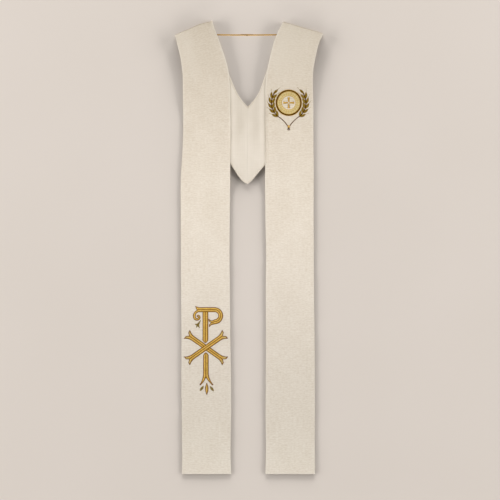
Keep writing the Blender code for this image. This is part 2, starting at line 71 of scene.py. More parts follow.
# Sections of each front in mm, hem to shoulder fold: neck-side edge x, y, outer edge x, y
LEFT_FRONT = (
    (-51.5, -650.5, -192, -650.5), (-53, -582, -191.5, -582), (-51.5, -496, -192.5, -496),
    (-51.5, -410, -193.5, -410), (-53.5, -266, -193.5, -266), (-54.8, -123, -194.5, -123),
    (-55.8, -8, -195, -8), (-55, 107, -195.5, 107), (-54, 193, -195.5, 193),
    (-53, 279, -190.5, 279), (-52.5, 342, -188.5, 342), (-53.5, 400, -189, 388),
    (-55, 468.5, -189.5, 457), (-58.5, 503, -190, 486), (-66.8, 537.5, -191.7, 509),
    (-76.3, 566, -194.7, 533), (-86.4, 595, -198.7, 554.5), (-97, 623.5, -205.3, 580.5),
    (-106.5, 650.5, -213, 608.5),
)
RIGHT_FRONT = (
    (47.5, -650.5, 189.5, -650.5), (49, -582, 188.8, -582), (48, -496, 189, -496),
    (48.5, -381, 189, -381), (49, -266, 188.3, -266), (48.5, -123, 186.5, -123),
    (49, -8, 186, -8), (47, 107, 185.5, 107), (46.3, 216, 186, 216),
    (48, 308, 185, 308), (47.3, 354, 185, 354), (47.5, 411, 184.5, 405.5),
    (47.2, 463, 183.3, 457), (50, 495, 183.3, 486), (58.5, 537.5, 185.5, 517.5),
    (65.7, 566, 190, 540.5), (73.8, 595, 196.3, 569), (84.6, 620.5, 203.8, 593.5),
    (97.5, 647, 213, 613),
)
# Sections of each half of the back in mm, after the fold; x at the centre-back seam is left open
LEFT_BACK = (
    (-98.6, 615, -199, 569), (-85.6, 577.5, -181, 517.5), (-72.5, 541.5, -160.5, 460),
    (-60.5, 506, -139, 402.5), (-47.5, 473, -114.5, 345), (-34.8, 444.5, -86, 289),
    (-19.8, 421.5, -52, 238.5), (-11, 411.5, -26, 199), (-7.5, 407.5, -16.5, 188.5),
    (None, 403.5, None, 181.5),
)
RIGHT_BACK = (
    (84.5, 615, 194, 572), (70.3, 577.5, 175, 520), (61, 541.5, 153.5, 460),
    (51.5, 508.5, 130.5, 402.5), (39.4, 473, 105, 345), (28.5, 444.5, 77.5, 290.5),
    (13.3, 421.5, 45.5, 236.5), (5.5, 412, 21, 207), (1, 407.5, 7.5, 191),
    (None, 403.5, None, 181.5),
)
# Slight wave of the left shoulder fold: share of the way from its outer end, and mm outward
LEFT_FOLD_WAVE = ((0.0, 0.0), (0.3, 0.5), (0.68, 2.8), (0.86, 0.4), (0.94, -2.0), (1.0, 0.0))

log = logging.getLogger("clerical_stole")


class Side(Enum):
    """Side of the stole as it lies, seen from above."""

    LEFT = "left"
    RIGHT = "right"


class Pattern(Enum):
    """Pattern of a finish: soft grains, or fine lines, one to a unit of the coordinates."""

    GRAINS = ("ShaderNodeTexNoise", {"Scale": 1.0})
    LINES_ACROSS = ("ShaderNodeTexWave", {"Scale": math.pi / 10, "bands_direction": "Y"})
    LINES_ALONG = ("ShaderNodeTexWave", {"Scale": math.pi / 10, "bands_direction": "X"})


class Lay(Enum):
    """What a pattern follows: the lie of the cloth, or places in the piece."""

    CLOTH = "UV"
    PLACE = "Object"


class Lit(Enum):
    """What a soft box lights."""

    STOLE = "stole"
    PAPER = "paper"


# ---- helpers


def smooth(share: np.ndarray | float) -> np.ndarray | float:
    """Ease from 0 to 1 with level ends."""
    t = np.clip(share, 0.0, 1.0)
    return t * t * (3 - 2 * t)


def bell(distance: np.ndarray, reach: float) -> np.ndarray:
    """Fall from 1 towards 0 with the distance, on both sides of 0."""
    return np.exp(-(distance / reach) ** 2)


def linear(colour: str) -> tuple[float, float, float, float]:
    """Turn an sRGB hex colour into a linear RGBA colour.

    Args:
        colour: Six hex digits.

    Returns:
        Red, green, blue and alpha from 0 to 1.
    """
    parts = [int(colour[k:k + 2], 16) / 255 for k in (0, 2, 4)]
    return (*(p / 12.92 if p <= 0.04045 else ((p + 0.055) / 1.055) ** 2.4 for p in parts), 1.0)


def add_node(tree: NodeTree, kind: str, settings: dict | None = None,
             links: dict | None = None) -> Node:
    """Add a node with its settings and links.

    Args:
        tree: Tree that gets the node.
        kind: Blender's identifier of the node.
        settings: Node properties, or default values of inputs by name or number.
        links: Output sockets, or nodes whose first output counts, by the name or number of the input.

    Returns:
        The new node.
    """
    node = tree.nodes.new(kind)
    for key, value in (settings or {}).items():
        if isinstance(key, str) and hasattr(node, key):
            setattr(node, key, value)
        else:
            node.inputs[key].default_value = value
    for key, source in (links or {}).items():
        tree.links.new(source.outputs[0] if isinstance(source, Node) else source, node.inputs[key])
    return node


def along_line(line: np.ndarray, count: int) -> np.ndarray:
    """Even points along a polyline of plan points x + iy.

    Args:
        line: Complex points in metres.
        count: Number of points to return.

    Returns:
        Complex points at equal spacing, both ends included.
    """
    places = np.concatenate(([0.0], np.cumsum(np.abs(np.diff(line)))))
    return np.interp(np.linspace(0, places[-1], count), places, line)


def line_length(line: np.ndarray) -> float:
    """Length of a polyline of complex plan points."""
    return float(np.abs(np.diff(line)).sum())


def spot(x: float, y: float) -> complex:
    """Plan point from millimetres."""
    return complex(x, y) * MM


def heading(degrees: float) -> complex:
    """Unit vector in the plan at an angle from +X."""
    return complex(math.cos(math.radians(degrees)), math.sin(math.radians(degrees)))


def closed_mesh(name: str, loops: np.ndarray, uv: np.ndarray | None = None,
                tone: np.ndarray | None = None) -> Mesh:
    """Join closed loops of points into one closed mesh, with flat caps where an end is open.

    Args:
        name: Name of the mesh.
        loops: Points, shaped (loops, points per loop, 3).
        uv: Pattern coordinates of the same points, in metres.
        tone: Painted light and shade of each point, kept as a mesh attribute of that name.

    Returns:
        The mesh, with its faces outward.
    """
    rows, ring = loops.shape[:2]
    k = np.arange(ring)
    ahead = (k + 1) % ring
    quads = []
    for r in range(rows - 1):
        low, high = r * ring, (r + 1) * ring
        quads += np.stack((low + k, low + ahead, high + ahead, high + k), axis=1).tolist()
    for r in (0, rows - 1):
        if np.ptp(loops[r], axis=0).max() > 0 and not _folds_flat(loops[r]):
            quads.append((r * ring + k).tolist())
    mesh = bpy.data.meshes.new(name)
    mesh.from_pydata(loops.reshape(-1, 3).tolist(), [], quads)
    if uv is not None:
        corner = np.empty(len(mesh.loops), dtype=np.int32)
        mesh.loops.foreach_get("vertex_index", corner)
        layer = mesh.uv_layers.new(name="cloth")
        layer.data.foreach_set("uv", uv.reshape(-1, 2)[corner].astype(np.float32).ravel())
    # painted light and shade, read by the finishes
    if tone is not None:
        values = mesh.attributes.new("tone", "FLOAT", "POINT")
        values.data.foreach_set("value", tone.reshape(-1).astype(np.float32))
    bm = bmesh.new()
    bm.from_mesh(mesh)
    bmesh.ops.remove_doubles(bm, verts=bm.verts[:], dist=MERGE)
    bmesh.ops.recalc_face_normals(bm, faces=bm.faces[:])
    bm.to_mesh(mesh)
    bm.free()
    return mesh


def _folds_flat(ring: np.ndarray) -> bool:
    """Whether the two halves of a ring lie on each other, so that its end needs no cap."""
    half = len(ring) // 2
    return bool(np.allclose(ring[1:half], ring[:half:-1], atol=MERGE / 10))


def line_mesh(name: str, lines: list[np.ndarray] | np.ndarray) -> Mesh:
    """Make the mesh of open lines that a stitch tree starts from.

    Args:
        name: Name of the mesh.
        lines: Points of each line, shaped (points, 3).

    Returns:
        The mesh, of edges alone.
    """
    edges, start = [], 0
    for line in lines:
        edges += [(start + k, start + k + 1) for k in range(len(line) - 1)]
        start += len(line)
    mesh = bpy.data.meshes.new(name)
    mesh.from_pydata(np.concatenate(list(lines)).tolist(), edges, [])
    return mesh


def joined(name: str, meshes: list[Mesh]) -> Mesh:
    """Put meshes into one.

    Args:
        name: Name of the new mesh.
        meshes: Meshes that are used up.

    Returns:
        The new mesh.
    """
    bm = bmesh.new()
    for mesh in meshes:
        bm.from_mesh(mesh)
        bpy.data.meshes.remove(mesh)
    whole = bpy.data.meshes.new(name)
    bm.to_mesh(whole)
    bm.free()
    return whole


def add_piece(name: str, mesh: Mesh, material: Material,
              stands_for: tuple[str, ...] = ()) -> Object:
    """Make the object of a finished mesh and tie it to the frame.

    Args:
        name: Name of the piece.
        mesh: Its mesh, in place.
        material: Its finish.
        stands_for: CAD nodes that it replaces.

    Returns:
        The object.
    """
    mesh.name = name
    mesh.materials.clear()
    mesh.materials.append(material)
    mesh.shade_smooth()
    piece = bpy.data.objects.new(name, mesh)
    bpy.context.scene.collection.objects.link(piece)
    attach(piece, BODY)
    if stands_for:
        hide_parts(*stands_for)
    log.info("%s: %d faces", name, len(mesh.polygons))
    return piece


# ---- finishes


class Surface:
    """Node tree of one finish, with the steps that the finishes share."""

    def __init__(self, name: str, roughness: float, sheen: float = 0.0, specular: float = 0.5,
                 metallic: float = 0.0) -> None:
        """Start a material.

        Args:
            name: What the real material is.
            roughness: Roughness of its surface.
            sheen: Soft light along its edges, from loose fibre.
            specular: Strength of its highlights.
            metallic: 1 for a metal.
        """
        self.material = bpy.data.materials.new(name)
        self.material.use_nodes = True
        self.tree = self.material.node_tree
        self.add = partial(add_node, self.tree)
        self.shader = self.tree.nodes["Principled BSDF"]
        for key, value in (("Roughness", roughness), ("Sheen Weight", sheen), ("Sheen Roughness", 0.5),
                           ("Specular IOR Level", specular), ("Metallic", metallic)):
            self.shader.inputs[key].default_value = value

    def pattern(self, kind: Pattern, lay: Lay, spacing: tuple[float, float, float] | float,
                detail: float = 1.0, wander: float = 0.0) -> NodeSocket:
        """Lay a pattern over the finish.

        Args:
            kind: The pattern.
            lay: What it follows.
            spacing: Size in metres of one grain along each axis, or distance between lines.
            detail: Number of finer layers in it.
            wander: How much its lines waver.

        Returns:
            Value from 0 to 1.
        """
        sizes = spacing if isinstance(spacing, tuple) else (spacing,) * 3
        place = self.add("ShaderNodeTexCoord")
        units = self.add("ShaderNodeMapping", {"Scale": tuple(1 / size for size in sizes)},
                         {"Vector": place.outputs[lay.value]})
        texture, settings = kind.value
        settings = {**settings, "Detail": detail, "Distortion": wander}
        return self.add(texture, settings, {"Vector": units}).outputs["Fac"]

    def total(self, *terms: tuple[NodeSocket | str, float]) -> NodeSocket:
        """Weighted sum.

        Args:
            terms: Sockets, or names of mesh attributes, each with its weight.

        Returns:
            The sum.
        """
        result: NodeSocket | None = None
        for value, weight in terms:
            if isinstance(value, str):
                value = self.add("ShaderNodeAttribute", {"attribute_name": value}).outputs["Fac"]
            links = {0: value} if result is None else {0: value, 2: result}
            settings = {"operation": "MULTIPLY" if result is None else "MULTIPLY_ADD", 1: weight}
            result = self.add("ShaderNodeMath", settings, links).outputs[0]
        return result

    def shaded(self, shade: NodeSocket, low: float, high: float, dark: str, light: str) -> NodeSocket:
        """Colour that turns from dark to light as a shade rises.

        Args:
            shade: The shade.
            low: Its value where the colour is dark.
            high: Its value where the colour is light.
            dark: Hex colour.
            light: Hex colour.

        Returns:
            The colour.
        """
        share = self.add("ShaderNodeMapRange", {1: low, 2: high}, {0: shade}).outputs[0]
        colours = {"data_type": "RGBA", 6: linear(dark), 7: linear(light)}
        return self.add("ShaderNodeMix", colours, {0: share}).outputs[2]

    def finish(self, colour: NodeSocket, height: NodeSocket, depth: float) -> Material:
        """Plug in the colour and the relief.

        Args:
            colour: Base colour.
            height: Relief from 0 to 1.
            depth: Depth of the relief in metres.

        Returns:
            The material.
        """
        self.tree.links.new(colour, self.shader.inputs["Base Color"])
        bump = self.add("ShaderNodeBump", {"Strength": 1.0, "Distance": depth}, {"Height": height})
        self.tree.links.new(bump.outputs[0], self.shader.inputs["Normal"])
        return self.material


@dataclass(frozen=True)
class RibbedFaceCloth:
    """Wool and silk, plain woven with a heavier cross yarn: dull, with broken cross ribs and small slubs."""

    pale: str = "F0E9DE"
    deep: str = "DACFBF"
    # painted highlight colour of the pressed edges, the shoulders and the strip's ends
    edge: str = "F3EDE3"
    rib: float = 2.9 * MM  # real ribs are 0.7 mm; drawn four times as coarse, so that they show
    warp: float = 2.3 * MM  # real warp threads are 0.4 mm apart; drawn coarser, so that they show
    wander: float = 1.6
    slub: tuple[float, float, float] = (8.5 * MM, 2.4 * MM, 1.0)
    streak: tuple[float, float, float] = (32 * MM, 4.2 * MM, 1.0)
    end: tuple[float, float, float] = (4.5 * MM, 22 * MM, 1.0)
    cloud: tuple[float, float, float] = (70 * MM, 90 * MM, 1.0)
    relief: float = 0.22 * MM

    def material(self) -> Material:
        """Build the material; it gives the eye a matt cream with fine broken lines across the band.

        Returns:
            The material.
        """
        surface = Surface("ribbed wool and silk face cloth", roughness=0.88, sheen=0.08, specular=0.2)
        slub = surface.pattern(Pattern.GRAINS, Lay.CLOTH, self.slub, detail=2.0)
        streak = surface.pattern(Pattern.GRAINS, Lay.CLOTH, self.streak)
        end = surface.pattern(Pattern.GRAINS, Lay.CLOTH, self.end)
        cloud = surface.pattern(Pattern.GRAINS, Lay.CLOTH, self.cloud)
        rib = surface.pattern(Pattern.LINES_ACROSS, Lay.CLOTH, self.rib, wander=self.wander)
        warp = surface.pattern(Pattern.LINES_ALONG, Lay.CLOTH, self.warp, wander=self.wander)
        shade = surface.total((slub, 1.0), (streak, 0.35), (end, 0.25), (cloud, 0.3), (rib, 0.3), (warp, 0.1))
        cloth = surface.shaded(shade, 0.8, 1.5, self.deep, self.pale)
        # painted highlight: the shading attribute turns the cloth towards the edge colour
        highlighted = surface.add("ShaderNodeMix", {"data_type": "RGBA", 7: linear(self.edge)},
                            {0: surface.total(("tone", 1.0)), 6: cloth})
        height = surface.total((rib, 0.45), (warp, 0.25), (slub, 0.9))
        return surface.finish(highlighted.outputs[2], height, self.relief)


@dataclass(frozen=True)
class SatinLining:
    """Acetate lining in a light satin weave: smoother than the face, with fine lengthwise grain."""

    pale: str = "F1EAE0"
    deep: str = "D8D0C3"
    grain: tuple[float, float, float] = (2.2 * MM, 90 * MM, 1.0)
    filling: tuple[float, float, float] = (60 * MM, 1.8 * MM, 1.0)
    cloud: tuple[float, float, float] = (30 * MM, 45 * MM, 1.0)
    thread: float = 0.9 * MM  # real threads are 0.3 mm; drawn coarser, so that they show
    relief: float = 0.05 * MM

    def material(self) -> Material:
        """Build the material; it gives the eye a soft gloss with a faint grain both ways.

        Returns:
            The material.
        """
        surface = Surface("satin-weave acetate lining", roughness=0.55, sheen=0.1, specular=0.35)
        grain = surface.pattern(Pattern.GRAINS, Lay.PLACE, self.grain, detail=2.0)
        filling = surface.pattern(Pattern.GRAINS, Lay.PLACE, self.filling, detail=2.0)
        cloud = surface.pattern(Pattern.GRAINS, Lay.PLACE, self.cloud)
        thread = surface.pattern(Pattern.LINES_ALONG, Lay.PLACE, self.thread, wander=0.4)
        # the shading attribute adds painted light and shade from the strip
        shade = surface.total((grain, 0.3), (cloud, 0.35), (filling, 0.25), ("tone", 1.0))
        colour = surface.shaded(shade, 0.0, 0.9, self.deep, self.pale)
        return surface.finish(colour, surface.total((grain, 0.5), (thread, 0.3)), self.relief)


@dataclass(frozen=True)
class EmbroideryThread:
    """Rayon embroidery thread, with painted shade where a stitch dips into the cloth and a painted highlight
    along its crown.
    """

    name: str
    dark: str
    light: str
    roughness: float = 0.42
    cloud: float = 9 * MM
    fibre: float = 0.12 * MM
    relief: float = 0.02 * MM

    def material(self) -> Material:
        """Build the material; it gives the eye a silky gloss that breaks from stitch to stitch.

        Returns:
            The material.
        """
        surface = Surface(f"{self.name} rayon embroidery thread", self.roughness, specular=0.3)
        surface.shader.inputs["Specular Tint"].default_value = linear(self.light)
        cloud = surface.pattern(Pattern.GRAINS, Lay.PLACE, self.cloud)
        fibre = surface.pattern(Pattern.GRAINS, Lay.PLACE, self.fibre)
        # painted shade and highlight of each stitch, from its crown and its ends
        shade = surface.total(("arch", 0.75), ("tint", 0.3), (cloud, 0.25))
        return surface.finish(surface.shaded(shade, 0.2, 1.2, self.dark, self.light), fibre, self.relief)


@dataclass(frozen=True)
class MetallisedCord:
    """Metallised film wound on a core and laid up as a cord: bright gold wraps, with painted shade in the
    valleys between them.
    """

    dark: str = "7A5618"
    light: str = "E8BE6C"
    wrap: float = 0.5 * MM
    relief: float = 0.06 * MM

    def material(self) -> Material:
        """Build the material; it gives the eye small metallic glints, with painted brown shade between the
        strands.

        Returns:
            The material.
        """
        surface = Surface("metallised gold cord", roughness=0.36, metallic=0.55)
        wrap = surface.pattern(Pattern.LINES_ACROSS, Lay.CLOTH, self.wrap)
        colour = surface.shaded(surface.total(("tone", 1.0)), 0.0, 1.0, self.dark, self.light)
        return surface.finish(colour, wrap, self.relief)


@dataclass(frozen=True)
class StudioPaper:
    """Pale seamless paper: matt, with a faint tooth."""

    pale: str = "D4CABF"
    deep: str = "D0C6BA"
    cloud: float = 400 * MM
    tooth: float = 1.5 * MM
    relief: float = 0.03 * MM

    def material(self) -> Material:
        """Build the material; it gives the eye an even warm ground.

        Returns:
            The material.
        """
        surface = Surface("seamless paper", roughness=0.95, specular=0.2)
        cloud = surface.pattern(Pattern.GRAINS, Lay.PLACE, self.cloud)
        tooth = surface.pattern(Pattern.GRAINS, Lay.PLACE, self.tooth, detail=2.0)
        return surface.finish(surface.shaded(cloud, 0.0, 1.0, self.deep, self.pale), tooth, self.relief)


# ---- stitch trees


@dataclass
class StitchTrees:
    """Geometry Nodes trees that turn plan lines into stitches."""

    stitch_points: int = 6  # along a satin stitch
    thread_sides: int = 5
    end_width: float = 0.65  # of a satin stitch, as a share of its width in the middle
    painted_first_light: float = 0.5  # painted brightness of a satin stitch at its outer end,
    painted_light_gain: float = 0.6  # and how much brighter it grows towards its inner end
    bead_sides: int = 6  # round a couched stitch
    bead_rings: int = 4
    satin: NodeTree = field(init=False)
    couched: NodeTree = field(init=False)

    def __post_init__(self) -> None:
        """Build both trees."""
        self.satin = self.build_satin()
        self.couched = self.build_couched()

    @staticmethod
    def start(name: str, sizes: tuple[str, ...]) -> tuple[NodeTree, NodeOutputs]:
        """Make a tree with its named inputs.

        Args:
            name: Name of the tree.
            sizes: Names of the inputs that hold sizes.

        Returns:
            The tree and the values that it is given.
        """
        tree = bpy.data.node_groups.new(name, "GeometryNodeTree")
        inputs = [("Geometry", "Geometry"), *((size, "Float") for size in sizes), ("Seed", "Int"),
                  ("Material", "Material")]
        for label, kind in inputs:
            tree.interface.new_socket(name=label, in_out="INPUT", socket_type=f"NodeSocket{kind}")
        tree.interface.new_socket(name="Geometry", in_out="OUTPUT", socket_type="NodeSocketGeometry")
        return tree, add_node(tree, "NodeGroupInput").outputs

    @staticmethod
    def end(tree: NodeTree, given: NodeOutputs, geometry: Node) -> None:
        """Close a tree with Realize Instances, Set Material and its output.

        Args:
            tree: The tree.
            given: Values that it is given.
            geometry: Node that makes the stitches.
        """
        real = add_node(tree, "GeometryNodeRealizeInstances", links={"Geometry": geometry})
        dressed = add_node(tree, "GeometryNodeSetMaterial",
                           links={"Geometry": real, "Material": given["Material"]})
        add_node(tree, "NodeGroupOutput", links={"Geometry": dressed})

    def build_satin(self) -> NodeTree:
        """Make the tree that lays one arched thread over each edge of a mesh.

        Returns:
            The tree.
        """
        tree, given = self.start("satin stitches", ("Thread", "Crown", "Crown Share"))
        add = partial(add_node, tree)
        curve = add("GeometryNodeMeshToCurve", links={"Mesh": given["Geometry"]})
        even = add("GeometryNodeResampleCurve", {"Count": self.stitch_points}, {"Curve": curve})
        place = add("GeometryNodeSplineParameter")
        length = add("GeometryNodeSplineLength")
        grown = add("ShaderNodeMath", {"operation": "MULTIPLY"}, {0: length, 1: given["Crown Share"]})
        crown = add("ShaderNodeMath", {"operation": "MINIMUM"}, {0: grown, 1: given["Crown"]})
        centred = add("ShaderNodeMath", {"operation": "MULTIPLY_ADD", 1: 2.0, 2: -1.0}, {0: place})
        squared = add("ShaderNodeMath", {"operation": "POWER", 1: 2.0}, {0: centred})
        arch = add("ShaderNodeMath", {"operation": "SUBTRACT", 0: 1.0}, {1: squared})
        rise = add("ShaderNodeMath", {"operation": "MULTIPLY"}, {0: arch, 1: crown})
        lift = add("ShaderNodeCombineXYZ", links={"Z": rise})
        arched = add("GeometryNodeSetPosition", links={"Geometry": even, "Offset": lift})
        # painted light and shade: each stitch is painted darker where it dips into the cloth, lighter along
        # its crown and lighter towards its inner end
        painted_lean = add("ShaderNodeMath",
                      {"operation": "MULTIPLY_ADD", 1: self.painted_light_gain, 2: self.painted_first_light}, {0: place})
        light = add("ShaderNodeMath", {"operation": "MULTIPLY"}, {0: arch, 1: painted_lean})
        shaded = add("GeometryNodeStoreNamedAttribute", {"Name": "arch"},
                     {"Geometry": arched, "Value": light})
        chance = add("FunctionNodeRandomValue", links={"Seed": given["Seed"]})
        tinted = add("GeometryNodeStoreNamedAttribute", {"domain": "CURVE", "Name": "tint"},
                     {"Geometry": shaded, "Value": chance.outputs[1]})
        profile = add("GeometryNodeCurvePrimitiveCircle", {"Resolution": self.thread_sides, "Radius": 0.5})
        taper = add("ShaderNodeMath",
                    {"operation": "MULTIPLY_ADD", 1: 1 - self.end_width, 2: self.end_width}, {0: arch})
        width = add("ShaderNodeMath", {"operation": "MULTIPLY"}, {0: taper, 1: given["Thread"]})
        threads = add("GeometryNodeCurveToMesh", {"Fill Caps": True},
                      {"Curve": tinted, "Profile Curve": profile, "Scale": width})
        self.end(tree, given, threads)
        return tree

    def build_couched(self) -> NodeTree:
        """Make the tree that lays short slanted stitches one after another along the edges of a mesh.

        Returns:
            The tree.
        """
        tree, given = self.start("couched stitches", ("Thread", "Stitch", "Step", "Slant"))
        add = partial(add_node, tree)
        curve = add("GeometryNodeMeshToCurve", links={"Mesh": given["Geometry"]})
        points = add("GeometryNodeCurveToPoints", {"mode": "LENGTH"},
                     {"Curve": curve, "Length": given["Step"]})
        ahead = add("FunctionNodeAlignRotationToVector", {"axis": "X", "pivot_axis": "Z"},
                    {"Vector": points.outputs["Tangent"]})
        turn = add("ShaderNodeCombineXYZ", links={"Z": given["Slant"]})
        slant = add("FunctionNodeEulerToRotation", links={"Euler": turn})
        laid = add("FunctionNodeRotateRotation", {"rotation_space": "LOCAL"},
                   {"Rotation": ahead, "Rotate By": slant})
        bead = add("GeometryNodeMeshUVSphere",
                   {"Segments": self.bead_sides, "Rings": self.bead_rings, "Radius": 0.5})
        size = add("ShaderNodeCombineXYZ",
                   links={"X": given["Thread"], "Y": given["Thread"], "Z": given["Stitch"]})
        upright = add("GeometryNodeTransform", {"Rotation": (0.0, math.pi / 2, 0.0)},
                      {"Geometry": bead, "Scale": size})
        # painted shade: each stitch is painted darker on its lower half and lighter towards its top
        place = add("GeometryNodeInputPosition")
        height = add("ShaderNodeSeparateXYZ", links={0: place})
        share = add("ShaderNodeMath", {"operation": "DIVIDE"},
                    {0: height.outputs["Z"], 1: given["Thread"]})
        arch = add("ShaderNodeMath", {"operation": "MULTIPLY", 1: 2.0, "use_clamp": True}, {0: share})
        shaded = add("GeometryNodeStoreNamedAttribute", {"Name": "arch"},
                     {"Geometry": upright, "Value": arch})
        stitches = add("GeometryNodeInstanceOnPoints",
                       links={"Points": points, "Instance": shaded, "Rotation": laid})
        chance = add("FunctionNodeRandomValue", links={"Seed": given["Seed"]})
        tinted = add("GeometryNodeStoreNamedAttribute", {"domain": "INSTANCE", "Name": "tint"},
                     {"Geometry": stitches, "Value": chance.outputs[1]})
        self.end(tree, given, tinted)
        return tree

    @staticmethod
    def grow(tree: NodeTree, mesh: Mesh, inputs: dict) -> Mesh:
        """Run a tree on a mesh.

        Args:
            tree: The tree.
            mesh: Lines that it starts from; used up.
            inputs: Values by the name of the input.

        Returns:
            The result as a plain mesh.
        """
        carrier = bpy.data.objects.new("carrier", mesh)
        bpy.context.scene.collection.objects.link(carrier)
        modifier = carrier.modifiers.new("stitches", "NODES")
        modifier.node_group = tree
        for item in tree.interface.items_tree:
            if item.item_type == "SOCKET" and item.in_out == "INPUT" and item.name in inputs:
                modifier[item.identifier] = inputs[item.name]
        graph = bpy.context.evaluated_depsgraph_get()
        graph.update()
        result = bpy.data.meshes.new_from_object(carrier.evaluated_get(graph))
        carrier.modifiers.remove(modifier)
        bpy.data.objects.remove(carrier, do_unlink=True)
        bpy.data.meshes.remove(mesh)
        return result


# ---- camera, floor and light


@dataclass(frozen=True)
class SoftBox:
    """Soft box that lights the stole, or the paper alone, so that thin cloth still throws a soft shadow."""

    name: str
    place: tuple[float, float, float]
    target: tuple[float, float, float]
    size: tuple[float, float]  # metres
    power: float  # watts
    colour: str = "FAFBFF"
    lit: Lit = Lit.STOLE

    def hang(self) -> None:
        """Add the light, turned to its target."""
        data = bpy.data.lights.new(self.name, "AREA")
        data.shape = "RECTANGLE"
        data.energy = self.power
        data.size, data.size_y = self.size
        data.color = linear(self.colour)[:3]
        light = bpy.data.objects.new(self.name, data)
        light.location = self.place
        light.rotation_euler = (light.location - Vector(self.target)).to_track_quat("Z", "Y").to_euler()
        light.visible_camera = False
        light.light_linking.receiver_collection = bpy.data.collections[f"lit {self.lit.value}"]
        bpy.context.scene.collection.objects.link(light)


MIDDLE = (0, 0, 0)
SOFT_BOXES = (
    SoftBox("soft box above the shoulders", (0, 0.3, 0.95), (0, 0.3, 0), (3.2, 0.35), 6.6, "FFF5DE"),
    SoftBox("soft box above the fronts", (0, 0.05, 0.75), (0, 0.05, 0), (3.2, 0.35), 7.2, "F4F6FF"),
    SoftBox("soft box past the hems", (0, -1.2, 0.45), (0, -0.8, 0), (2.4, 0.3), 9.2, "FAFAF7"),
    SoftBox("soft box past the folds", (0, 1.7, 0.6), (0, 0.2, 0), (3, 0.3), 6, "FFF0D6"),
    SoftBox("soft box at the left", (-2.1, 0.1, 0.55), (0, 0.1, 0), (0.35, 1.6), 12, "FBFBFF"),
    SoftBox("soft box at the right", (2.1, 0.1, 0.55), (0, 0.1, 0), (0.35, 1.6), 6, "FBFBFF"),
    SoftBox("low soft box far left", (-8, 0, 0.75), MIDDLE, (10, 1.05), 2500, lit=Lit.PAPER),
    SoftBox("low soft box far right", (8, 0, 0.75), MIDDLE, (10, 1.05), 2344, lit=Lit.PAPER),
    SoftBox("low soft box far ahead", (0, 14, 1.05), MIDDLE, (14, 1.4), 11025, lit=Lit.PAPER),
    SoftBox("low soft box far behind", (0, -14, 1.05), MIDDLE, (14, 1.4), 2756, lit=Lit.PAPER),
)


@dataclass
class Studio:
    """Camera straight above, pale floor and soft light."""

    view_width: float = 1.4350  # metres across the square picture at the floor
    view_centre: tuple[float, float] = (3.0 * MM, -7.9 * MM)
    lens: float = 100.0
    sensor: float = 36.0
    floor_size: float = 12.0
    room_light: float = 0.10
    room_colour: str = "FFF8EE"

    def add_camera(self) -> None:
        """Hang the camera over the stole, with its top towards the shoulder folds."""
        data = bpy.data.cameras.new("camera above")
        data.lens = self.lens
        data.sensor_width = self.sensor
        camera = bpy.data.objects.new("camera_above", data)
        camera.location = (*self.view_centre, self.view_width * self.lens / self.sensor)
        bpy.context.scene.collection.objects.link(camera)
        bpy.context.scene.camera = camera

    def add_floor(self) -> None:
        """Lay the paper that the stole lies on."""
        half = self.floor_size / 2
        mesh = bpy.data.meshes.new("studio_floor")
        corners = [(-half, -half, 0), (half, -half, 0), (half, half, 0), (-half, half, 0)]
        mesh.from_pydata(corners, [], [(0, 1, 2, 3)])
        mesh.materials.append(StudioPaper().material())
        floor = bpy.data.objects.new("studio_floor", mesh)
        bpy.context.scene.collection.objects.link(floor)
        for lit, state in ((Lit.PAPER, "INCLUDE"), (Lit.STOLE, "EXCLUDE")):
            group = bpy.data.collections.new(f"lit {lit.value}")
            group.objects.link(floor)
            group.collection_objects[0].light_linking.link_state = state

    def add_lights(self) -> None:
        """Hang the soft boxes and fill the room with a little light."""
        for box in SOFT_BOXES:
            box.hang()
        world = bpy.data.worlds.new("studio room")
        world.use_nodes = True
        background = world.node_tree.nodes["Background"]
        background.inputs["Color"].default_value = linear(self.room_colour)
        background.inputs["Strength"].default_value = self.room_light
        bpy.context.scene.world = world
        bpy.context.scene.view_settings.view_transform = "Standard"


# ---- neck cord


